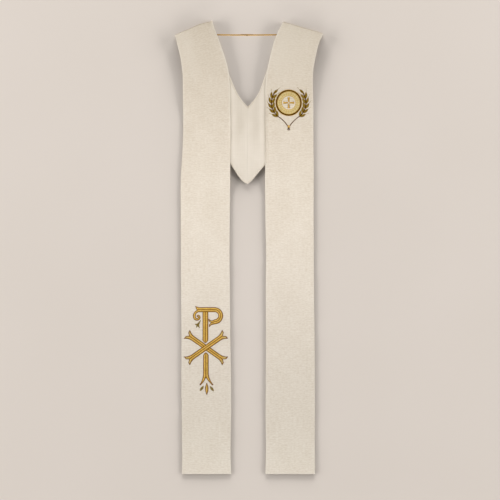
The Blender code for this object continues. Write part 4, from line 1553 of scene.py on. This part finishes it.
@dataclass
class ChiRho:
    """Chi-rho in gold satin stitch with brown edges, near the foot of the left front."""

    needle: Needle
    arm_angle: float = 35.0
    arm_reach: float = 66 * MM
    arm_width: float = 12.5 * MM
    fork_spread: float = 27.4 * MM
    fork_flare: float = 23 * MM
    fork_notch: float = 8.6 * MM
    stem_x: float = -1.8
    stem_half: float = 7.2
    stem_top: float = 102.5
    stem_foot: float = 14.1
    point: float = 7.0  # height of a stem's pointed end; stem, foot, rho and leaf are in mm
    point_bend: float = 0.28  # where its edges bend, as a share of that height
    foot_x: float = -0.4
    foot_half: float = 6.8
    foot_top: float = -14.9
    bar_y: float = 108.8
    bar_half: float = 6.0
    bowl: complex = 24.7 + 91.4j
    bowl_end: complex = 8.9 + 70.8j
    hook: complex = -25.3 + 88.4j
    leaf_heart: complex = -23.4 + 64.6j
    leaf_valley: float = 3.7  # from its heart to the valleys between its points
    leaf_middle: float = 3.5 * MM  # radius of the round patch over its heart
    edging_shadow_shift: complex = (0.35 - 0.35j) * MM  # set a little to the right and low, so that the brown edging paints shade along the strokes' lower right sides

    def arm_fork(self, degrees: float) -> Fork:
        """Fishtail of an arm of the chi."""
        ahead = heading(degrees)
        return Fork(ahead * self.arm_reach, ahead, self.arm_width, self.fork_spread, self.fork_flare,
                    self.fork_notch)

    def whole_arm(self) -> Stroke:
        """Arm that passes over, with a fishtail at each end.

        Returns:
            The stroke.
        """
        up, down = self.arm_fork(self.arm_angle), self.arm_fork(self.arm_angle + 180)
        columns = []
        for turn in (1, -1):
            side = np.concatenate((down.shaft_side(-turn)[::-1], up.shaft_side(turn)))
            middle = np.concatenate((down.shaft_middle()[::-1], up.shaft_middle()))
            columns.append([(side, middle)])
        points = [[fork.point(turn)] for fork in (up, down) for turn in (1, -1)]
        vein = np.array((down.shaft_middle()[1], up.shaft_middle()[1]))
        return Stroke(columns, np.concatenate((up.outline(), down.outline())), [vein], points)

    def half_arm(self, degrees: float) -> Stroke:
        """Half of the arm that passes under, cut along the edge of the arm on top.

        Args:
            degrees: Direction in which it runs.

        Returns:
            The stroke.
        """
        fork = self.arm_fork(degrees)
        across = 1j * heading(self.arm_angle)
        if (across * fork.ahead.conjugate()).real < 0:
            across = -across
        reach = self.arm_width / 2 + SEAM_GAP
        columns, corners = [], []
        middle = fork.ahead * (reach / (fork.ahead * across.conjugate()).real)
        for turn in (1, -1):
            side = turn * 1j * fork.ahead * self.arm_width / 2
            cut = (reach - (side * across.conjugate()).real) / (fork.ahead * across.conjugate()).real
            corner = fork.ahead * cut + side
            corners.append(corner)
            columns.append([(np.append([corner], fork.shaft_side(turn)),
                             np.append([middle], fork.shaft_middle()))])
        vein = np.array((middle, fork.shaft_middle()[1]))
        points = [[fork.point(turn)] for turn in (1, -1)]
        return Stroke(columns, np.concatenate((corners, fork.outline())), [vein], points)

    def stem(self) -> Stroke:
        """Upper stem, square under the bar and pointed above the crossing.

        Returns:
            The stroke.
        """
        axis, top, foot = self.stem_x, self.stem_top, self.stem_foot
        shoulder = foot + self.point
        columns, edges = [], []
        for turn in (1, -1):
            half = turn * self.stem_half
            corner, middle, end = spot(axis + half, top), spot(axis, shoulder), spot(axis, foot)
            bend = spot(axis + half / 2, foot + self.point * self.point_bend)
            tip = [spot(axis + half, shoulder), bend, end]
            columns.append([(np.array((corner, tip[0])), np.array((spot(axis, top), middle))),
                            (np.array(tip), np.array((middle, end)))])
            edges.append([corner] + tip)
        outline = np.array(edges[1] + edges[0][-2::-1])
        return Stroke(columns, outline, [np.array((spot(axis, top), spot(axis, foot + 1.5)))])

    def foot(self) -> Stroke:
        """Lower stem, pointed at the top and split into two curved legs.

        Returns:
            The stroke.
        """
        outer_leg = ((6.9, -77.4), (8.6, -85.9), (11.6, -94.9), (15.2, -101.6), (19.4, -106.9))
        inner_leg = ((0.0, -84.4), (5.0, -93.0), (10.8, -100.6), (17.0, -106.9))
        shoulder = self.foot_top - self.point
        columns, edges = [], []
        for turn in (1, -1):
            def at(x: float, y: float) -> complex:
                """Plan point beside the axis, which drifts to the right below the split."""
                drift = 1.5 * smooth((-77 - y) / 30)
                return spot(self.foot_x + turn * x + drift, y)
            bend = at(self.foot_half / 2, self.foot_top - self.point * self.point_bend)
            tip = [at(0, self.foot_top), bend, at(self.foot_half, shoulder)]
            outer = [at(*p) for p in outer_leg]
            inner = [at(*p) for p in inner_leg]
            columns.append([(np.array(tip), np.array((tip[0], at(0, shoulder)))),
                            (np.array([tip[-1]] + outer[:2]), np.array((at(0, shoulder), inner[0]))),
                            (np.array(outer[1:]), np.array(inner))])
            edges.append(tip + outer + inner[:0:-1])
        outline = np.array(edges[0] + [spot(self.foot_x, inner_leg[0][1])] + edges[1][:0:-1])
        vein = np.array((spot(self.foot_x, self.foot_top - 1.5), spot(self.foot_x, inner_leg[0][1])))
        return Stroke(columns, outline, [vein])

    def rho(self) -> Stroke:
        """Bar and bowl in one stroke, with the hook under the bar's left end.

        Returns:
            The stroke.
        """
        y, half, bowl = self.bar_y, self.bar_half, self.bowl
        around = np.exp(1j * np.radians(90 - np.linspace(0, 180, 25)))
        radius = y - bowl.imag
        arcs = {turn: (bowl + around * (radius + turn * half)) * MM for turn in (1, 0, -1)}
        fork = Fork(self.bowl_end * MM, heading(185), 10.2 * MM, 21.6 * MM, 10 * MM, 6.4 * MM)
        tip, notch, neck = spot(-30, 118.1), spot(-25.5, 107.1), spot(-21.5, y - half)
        bar_start = {1: [tip, spot(-21, y + half)], 0: [notch, spot(-21, y)], -1: [neck, spot(-21, y - half)]}
        columns = []
        for turn in (1, -1):
            columns.append([
                (np.append(bar_start[turn], arcs[turn][0]), np.append(bar_start[0], arcs[0][0])),
                (arcs[turn], arcs[0]),
                (np.append([arcs[turn][-1]], fork.shaft_side(turn)),
                 np.append([arcs[0][-1]], fork.shaft_middle())),
            ])
        angles = np.array((75, 110, 140, 180, 220, 260, 300, 340, 380, 410, 440, 470.0))
        fine = np.linspace(86, 470, 38)
        inner = np.interp(fine, angles, (14.6, 9.8, 6.8, 5.4, 5.3, 5.2, 4.8, 4.0, 2.4, 1.2, 0.6, 0.4))
        outer = np.interp(fine, angles, (17.5, 16.0, 13.0, 11.0, 10.8, 10.3, 9.8, 9.0, 7.4, 5.6, 4.0, 2.2))
        spokes = np.exp(1j * np.radians(fine))
        hook_in, hook_out = (self.hook + spokes * inner) * MM, (self.hook + spokes * outer) * MM
        free = fine >= 110
        columns.append([(np.append([notch], hook_out[free]), np.append([neck], hook_in))])
        outline = np.concatenate(([spot(-21, y + half)], arcs[1], fork.outline()[::-1], arcs[-1][::-1],
                                  [neck], hook_in, hook_out[free][::-1], [notch, tip]))
        vein = np.concatenate(([notch, spot(-21, y)], arcs[0], [fork.shaft_middle()[1]]))
        return Stroke(columns, outline, [vein], [[fork.point(1)], [fork.point(-1)]])

    def leaf(self) -> Stroke:
        """Small leaf of four points.

        Returns:
            The stroke.
        """
        tips = ((58, 16.0), (166, 8.6), (240, 8.8), (301, 10.4))
        valleys = []
        for k, (angle, _) in enumerate(tips):
            span = (tips[(k + 1) % 4][0] - angle) % 360
            valleys.append((self.leaf_heart + heading(angle + span / 2) * self.leaf_valley) * MM)
        columns, outline = [], []
        for k, (angle, reach) in enumerate(tips):
            tip = (self.leaf_heart + heading(angle) * reach) * MM
            columns.append([(np.array((valleys[k - 1], tip)), np.array((valleys[k], tip)))])
            outline += [tip, valleys[k]]
        heart, radius = self.leaf_heart * MM, self.leaf_middle
        across = radius * np.linspace(-1, 1, 9)
        reach = np.sqrt(np.maximum(radius ** 2 - across ** 2, 0.0)) + 0.2 * MM
        columns.append([(heart + across + 1j * reach, heart + across - 1j * reach)])
        return Stroke(columns, np.array(outline))

    @staticmethod
    def drop(upper: complex, lower: complex, width: float) -> Stroke:
        """Leaf shape with a point at each end.

        Args:
            upper: Its upper end in mm.
            lower: Its lower end in mm.
            width: Its width in mm.

        Returns:
            The stroke.
        """
        share = np.linspace(0, 1, 12)
        middle = upper + (lower - upper) * share
        bulge = 1j * (lower - upper) / abs(lower - upper) * width / 2 * np.sin(math.pi * share)
        one, other = (middle + bulge) * MM, (middle - bulge) * MM
        return Stroke([[(one, other)]], np.concatenate((one, other[-2:0:-1])))

    def build(self, gold: Material, straw: Material, umber: Material,
              amber: Material, olive: Material) -> None:
        """Work all strokes, then their seams and edges.

        Args:
            gold: Thread of the strokes.
            straw: Thread of the fishtails' points.
            umber: Thread of the edges.
            amber: Thread of the seams along the middle of the strokes.
            olive: Thread of the leaf and the outer drops.
        """
        strokes = {
            "chi_arm_over": self.whole_arm(),
            "chi_arm_under_upper": self.half_arm(180 - self.arm_angle),
            "chi_arm_under_lower": self.half_arm(-self.arm_angle),
            "rho_stem": self.stem(), "rho_stroke": self.rho(), "foot_stem": self.foot(),
            "drop_middle": self.drop(2.2 - 102.6j, 2.2 - 134.3j, 7.6),
        }
        sprigs = {
            "leaf": self.leaf(), "drop_left": self.drop(-6.7 - 110.6j, -17.4 - 124.6j, 6.4),
            "drop_right": self.drop(11.6 - 111.2j, 22.4 - 125.4j, 6.4),
        }
        needle = self.needle
        for seed, (node, stroke) in enumerate(strokes.items()):
            needle.satin(f"satin_{node}", stroke.columns, gold, "gold_thread", (node,), seed=seed)
        for seed, (node, stroke) in enumerate(sprigs.items()):
            needle.satin(f"satin_{node}", stroke.columns, olive, "gold_thread", (node,), seed=20 + seed)
        points = [column for stroke in strokes.values() for column in stroke.points]
        needle.satin("chi_rho_points", points, straw, "pale_gold_thread", seed=30)
        outlines = [stroke.outline + self.edging_shadow_shift for stroke in strokes.values()]
        veins = [vein for stroke in strokes.values() for vein in stroke.veins]
        needle.couched("chi_rho_edging", outlines, umber, "brown_thread", 2.1 * MM, 0.3 * MM, closed=True,
                       seed=31)
        needle.couched("chi_rho_seams", veins, amber, "gold_thread", 1.8 * MM, 0.25 * MM, seed=32)
        tails = [tail for stroke in strokes.values() for tail in self.tails(stroke)]
        needle.couched("chi_rho_tips", tails, umber, "brown_thread", 2.2 * MM, 0.4 * MM, seed=33)
        edges = [stroke.outline for stroke in sprigs.values()]
        needle.couched("leaf_edging", edges, olive, "gold_thread", 0.9 * MM, 0.2 * MM, closed=True, seed=34)

    @staticmethod
    def tails(stroke: Stroke) -> list[np.ndarray]:
        """Middle lines of the outermost third of a stroke's points, where its edging doubles."""
        rails = [[along_line(rail, 12) for rail in column[0]] for column in stroke.points]
        return [(outer[8:] + inner[8:]) / 2 for outer, inner in rails]


@dataclass
class Roundel:
    """Host with a cross inside a ring, between two ears of wheat, on the right front."""

    needle: Needle
    ground_radius: float = 32 * MM
    ring_radius: float = 35 * MM
    ring_width: float = 5 * MM
    host_radius: float = 20 * MM
    cross_reach: float = 13 * MM
    cross_width: float = 4.4 * MM
    cross_flare: float = 7.6 * MM
    stalk_radius: float = 49.5 * MM
    grain_pairs: int = 5
    grain_length: float = 17.5 * MM
    grain_width: float = 6.2 * MM
    grain_offset: float = 5.0 * MM
    grain_tilt: float = 22.0
    top_tilt: float = 6.9  # of an ear's last grain
    awn: float = 9 * MM
    awn_lean: float = -8.0
    ear_start: float = -42.0  # degrees round the roundel
    ear_step: float = 16.5
    stalk_below: float = 14.0  # degrees from the end of the stalk's bow to the ear
    stalk_bow: float = 17 * MM
    stalk_foot: float = 2.6 * MM  # beside the middle, under the tie
    tie_y: float = -67 * MM
    low: float = 0.15 * MM  # level of the stitches on the cloth
    motif_level: float = 1.1 * MM  # and of those on the ground

    @staticmethod
    def circle(radius: float) -> np.ndarray:
        """Points round the roundel's middle."""
        return radius * np.exp(1j * np.linspace(0, math.tau, 72, endpoint=False))

    @staticmethod
    def ring_column(inner: float, outer: float) -> list[Rails]:
        """Column that runs round a circle."""
        turn = np.exp(1j * np.linspace(0, math.tau, 181))
        return [(outer * turn, inner * turn)]

    def host_columns(self) -> list[list[Rails]]:
        """Upright stitches that fill the host, in rows that end where the next begins.

        Returns:
            Rails of each row.
        """
        rows = []
        radius = self.host_radius - 0.6 * MM
        bands = np.linspace(-radius, radius, 7)
        for low, high in zip(bands, bands[1:]):
            reach = math.sqrt(max(radius ** 2 - min(abs(low), abs(high)) ** 2, 0.0))
            x = np.linspace(-reach, reach, 40)
            limit = np.sqrt(np.maximum(radius ** 2 - x ** 2, 0.0))
            rows.append([(x + 1j * np.clip(high, -limit, limit), x + 1j * np.clip(low, -limit, limit))])
        return rows

    def cross_columns(self) -> list[list[Rails]]:
        """Four short flared arms.

        Returns:
            Rails of each arm.
        """
        columns = []
        for k in range(4):
            ahead = heading(90 * k)
            share = np.linspace(0, 1, 8)
            middle = ahead * (self.cross_width / 2 + SEAM_GAP + self.cross_reach * share)
            half = 1j * ahead * (self.cross_width + (self.cross_flare - self.cross_width) * share ** 2) / 2
            columns.append([(middle + half, middle - half)])
        return columns

    def grain(self, middle: complex, ahead: complex) -> tuple[list[list[Rails]], np.ndarray]:
        """One grain of wheat.

        Args:
            middle: Its middle.
            ahead: Direction in which it points.

        Returns:
            Its two leaning columns, and its edge.
        """
        share = np.linspace(0, 1, 14)
        axis = middle + ahead * self.grain_length * (share - 0.5)
        half = 1j * ahead * self.grain_width / 2 * np.maximum(np.sin(math.pi * share) ** 0.8, 0.12)
        one, other = axis + half, axis - half
        return [[(one, axis)], [(other, axis)]], np.concatenate((one, other[::-1]))

    def ear(self, mirror: int) -> tuple[list[list[Rails]], list[np.ndarray], list[np.ndarray]]:
        """One ear of wheat.

        Args:
            mirror: 1 for the right ear and -1 for the left.

        Returns:
            Columns of the grains, their edges and their awns.
        """
        columns, edges, awns = [], [], []
        for pair in range(self.grain_pairs + 1):
            around = self.ear_start + self.ear_step * pair
            places = ((1, -self.grain_tilt), (-1, self.grain_tilt))
            for outside, tilt in places if pair < self.grain_pairs else ((0, self.top_tilt),):
                middle = heading(around) * (self.stalk_radius + outside * self.grain_offset)
                ahead = heading(around + 90 + tilt)
                if mirror < 0:
                    middle, ahead = -middle.conjugate(), -ahead.conjugate()
                pieces, edge = self.grain(middle, ahead)
                columns += pieces
                edges.append(edge)
                tip = middle + ahead * self.grain_length * 0.5
                lean = ahead * heading(self.awn_lean * outside * mirror)
                awns.append(np.array((tip, tip + lean * self.awn)))
        return columns, edges, awns

    def stalk(self, mirror: int) -> np.ndarray:
        """Line of a stalk, from under the tie up into its ear.

        Args:
            mirror: 1 for the right stalk and -1 for the left.

        Returns:
            Complex points.
        """
        low = self.ear_start - self.stalk_below
        top = heading(low) * self.stalk_radius
        start, bend = complex(self.stalk_foot, self.tie_y), top - heading(low + 90) * self.stalk_bow
        t = np.linspace(0, 1, 16)
        line = start * (1 - t) ** 2 + bend * 2 * t * (1 - t) + top * t * t
        climb = np.radians(np.linspace(low + 2, self.ear_start + self.ear_step * self.grain_pairs, 30))
        line = np.concatenate((line, self.stalk_radius * np.exp(1j * climb)))
        return line if mirror > 0 else -line.conjugate()

    def build(self, pale: Material, brown: Material, ivory: Material,
              gold: Material, olive: Material) -> None:
        """Work the roundel from the ground up.

        Args:
            pale: Thread of the ground.
            brown: Thread of the ring and the stalks.
            ivory: Thread of the host.
            gold: Thread of the cross, the rim and the tie.
            olive: Thread of the wheat.
        """
        needle, low, level = self.needle, self.low, self.motif_level
        ground = [self.ring_column(self.host_radius - 1 * MM, 26.5 * MM),
                  self.ring_column(26 * MM, self.ground_radius)]
        needle.satin("roundel_ground_satin", ground, pale, "pale_gold_thread", ("roundel_ground",),
                     low, 0.5 * MM, 0.07, seed=51)
        inside, outside = self.ring_radius - self.ring_width / 2, self.ring_radius + self.ring_width / 2
        ring = [self.ring_column(inside, outside)]
        needle.satin("roundel_ring_satin", ring, brown, "brown_thread", ("roundel_ring",), low, seed=52)
        needle.satin("host_satin", self.host_columns(), ivory, "ivory_thread", ("host",),
                     level, 0.2 * MM, 0.03, seed=53)
        arms = tuple(f"host_cross_arm_{k}" for k in range(1, 5))
        needle.satin("host_cross_satin", self.cross_columns(), gold, "gold_thread", arms,
                     level + 0.6 * MM, 0.5 * MM, 0.12, seed=54)
        rims = [self.circle(radius) for radius in (self.host_radius, inside, outside)]
        needle.couched("roundel_rims", rims, gold, "gold_thread", 1.3 * MM, 0.9 * MM, closed=True, seed=55)
        rays = []
        for k in range(24):
            ends = (self.host_radius + 1.8 * MM, self.host_radius + (10.5 if k % 2 else 7.5) * MM)
            rays.append(np.array(ends) * heading(15 * k))
        needle.couched("roundel_rays", rays, gold, "gold_thread", 1.0 * MM, 0.85 * MM, seed=56)
        stalks = []
        for mirror, side in ((1, Side.RIGHT), (-1, Side.LEFT)):
            columns, edges, awns = self.ear(mirror)
            nodes = tuple(f"grain_{side.value}_{k:02d}" for k in range(1, 2 * self.grain_pairs + 2))
            needle.satin(f"wheat_ear_{side.value}", columns, olive, "olive_thread", nodes, low,
                         seed=60 + mirror)
            needle.couched(f"wheat_edging_{side.value}", edges, brown, "brown_thread", 0.5 * MM, 0.15 * MM,
                           closed=True, seed=70 + mirror)
            needle.couched(f"wheat_awns_{side.value}", awns, olive, "olive_thread", 0.6 * MM, 0.3 * MM,
                           seed=80 + mirror)
            stalk = self.stalk(mirror)
            stalks += [stalk, stalk + 0.9 * MM, stalk - 0.9 * MM]
        needle.couched("wheat_stalks", stalks, brown, "brown_thread", 1.1 * MM, 0.35 * MM, seed=90,
                       stands_for=("stalk_left", "stalk_right"))
        foot = complex(0.0, self.tie_y)
        ends = [foot + np.array((spot(0.9 * k, -1.0), spot(1.1 * k, -5), spot(1.9 * k, -11.5 + 0.5 * abs(k))))
                for k in range(-2, 3)]
        needle.couched("wheat_stalk_ends", ends, brown, "brown_thread", 1.1 * MM, 0.35 * MM, seed=91)
        side = np.array((spot(-3.9, -3.4), spot(-3.2, -1.0), spot(-4.4, 2.0))) + foot
        needle.satin("wheat_tie_satin", [[(side, -side.conjugate())]], gold, "gold_thread", ("wheat_tie",),
                     0.6 * MM, 0.9 * MM, 0.12, seed=92)


@dataclass
class LiningStitches:
    """Slip stitches that hold the lining to the turned edges of the face cloth."""

    strip: Strip
    trees: StitchTrees
    step: float = 6 * MM
    stitch: float = 2.0 * MM
    thread: float = 0.35 * MM
    slant: float = 1.1  # turn of each stitch from the seam, in radians
    reach: float = 0.5 * MM  # above the lining's foot on the back, and below a front's middle layer

    def build(self, thread: Material) -> None:
        """Sew along the lining of the back and of the front.

        Args:
            thread: Finish of the stitches.
        """
        lines = []
        for rows in (self.strip.back_rows, self.strip.front_rows):
            plan, _, _ = self.strip.spread(rows, LINING_INSET)
            for column in (0, -1):
                edge = plan[:, column]
                height = np.full(len(edge), WALL + SEAM_GAP + self.reach)
                if rows is self.strip.front_rows:
                    curl = self.strip.curl(edge[:, 1], LINING_INSET) if column == 0 else 0.0
                    height = self.strip.middle_height(edge) + curl - self.reach
                lines.append(np.concatenate((edge, height[:, None]), axis=1))
        stitches = self.trees.grow(self.trees.couched, line_mesh("slip stitch lines", lines), {
            "Thread": self.thread, "Stitch": self.stitch, "Step": self.step, "Slant": self.slant,
            "Seed": 5, "Material": thread})
        add_piece(f"{self.strip.side.value}_slip_stitches", stitches, thread)


# ---- main


def main() -> None:
    """Build the stole: camera and cord first, then cloth, embroidery and the studio."""
    logging.basicConfig(level=logging.INFO, format="%(name)s: %(message)s")
    studio = Studio()
    studio.add_camera()
    NeckCord().build(MetallisedCord().material())
    studio.add_floor()

    cloth = RibbedFaceCloth().material()
    satin = SatinLining().material()
    gold = EmbroideryThread("gold", "8E6206", "FFDA7A").material()
    straw = EmbroideryThread("straw", "B09544", "E6CF90").material()
    amber = EmbroideryThread("amber", "6E3E06", "9E5E10").material()
    umber = EmbroideryThread("umber", "5C3400", "90580A", 0.5).material()
    brown = EmbroideryThread("brown", "402A0A", "704A18", 0.5).material()
    olive = EmbroideryThread("olive", "625224", "A69256", 0.45).material()
    wheat = EmbroideryThread("wheat gold", "66500F", "B3953A", 0.45).material()
    pale = EmbroideryThread("pale gold", "D6C084", "EEE0AE", 0.45).material()
    ivory = EmbroideryThread("ivory", "E4D9C6", "FAF4EA", 0.45).material()

    strips = {
        Side.LEFT: Strip(Side.LEFT, LEFT_FRONT, LEFT_BACK, SEAM_X - CLOSED_SEAM / 2, fold_wave=LEFT_FOLD_WAVE,
                         shoulder_highlights=((0.35, 38, 28), (0.45, -71, 10))),
        Side.RIGHT: Strip(Side.RIGHT, RIGHT_FRONT, RIGHT_BACK, SEAM_X + CLOSED_SEAM / 2,
                          curl_rise=2.8 * MM, curl_reach=5.4 * MM, curl_from=215 * MM, curl_edge_highlight=0.0,
                          crease_shadow=0.95, shoulder_highlights=((0.35, -42, 26), (0.4, -71, 10), (0.5, 71, 8), (0.3, 5, 45))),
    }
    trees = StitchTrees()
    for strip in strips.values():
        strip.build_band(cloth)
        strip.build_front_lining(satin)
        strip.build_back_lining(satin)
        LiningStitches(strip, trees).build(ivory)

    ChiRho(Needle(strips[Side.LEFT], trees, spot(-123.5, -287.6))).build(gold, straw, umber, amber, olive)
    Roundel(Needle(strips[Side.RIGHT], trees, spot(114, 414))).build(pale, brown, ivory, gold, wheat)
    studio.add_lights()


if __name__ == "__main__":
    main()
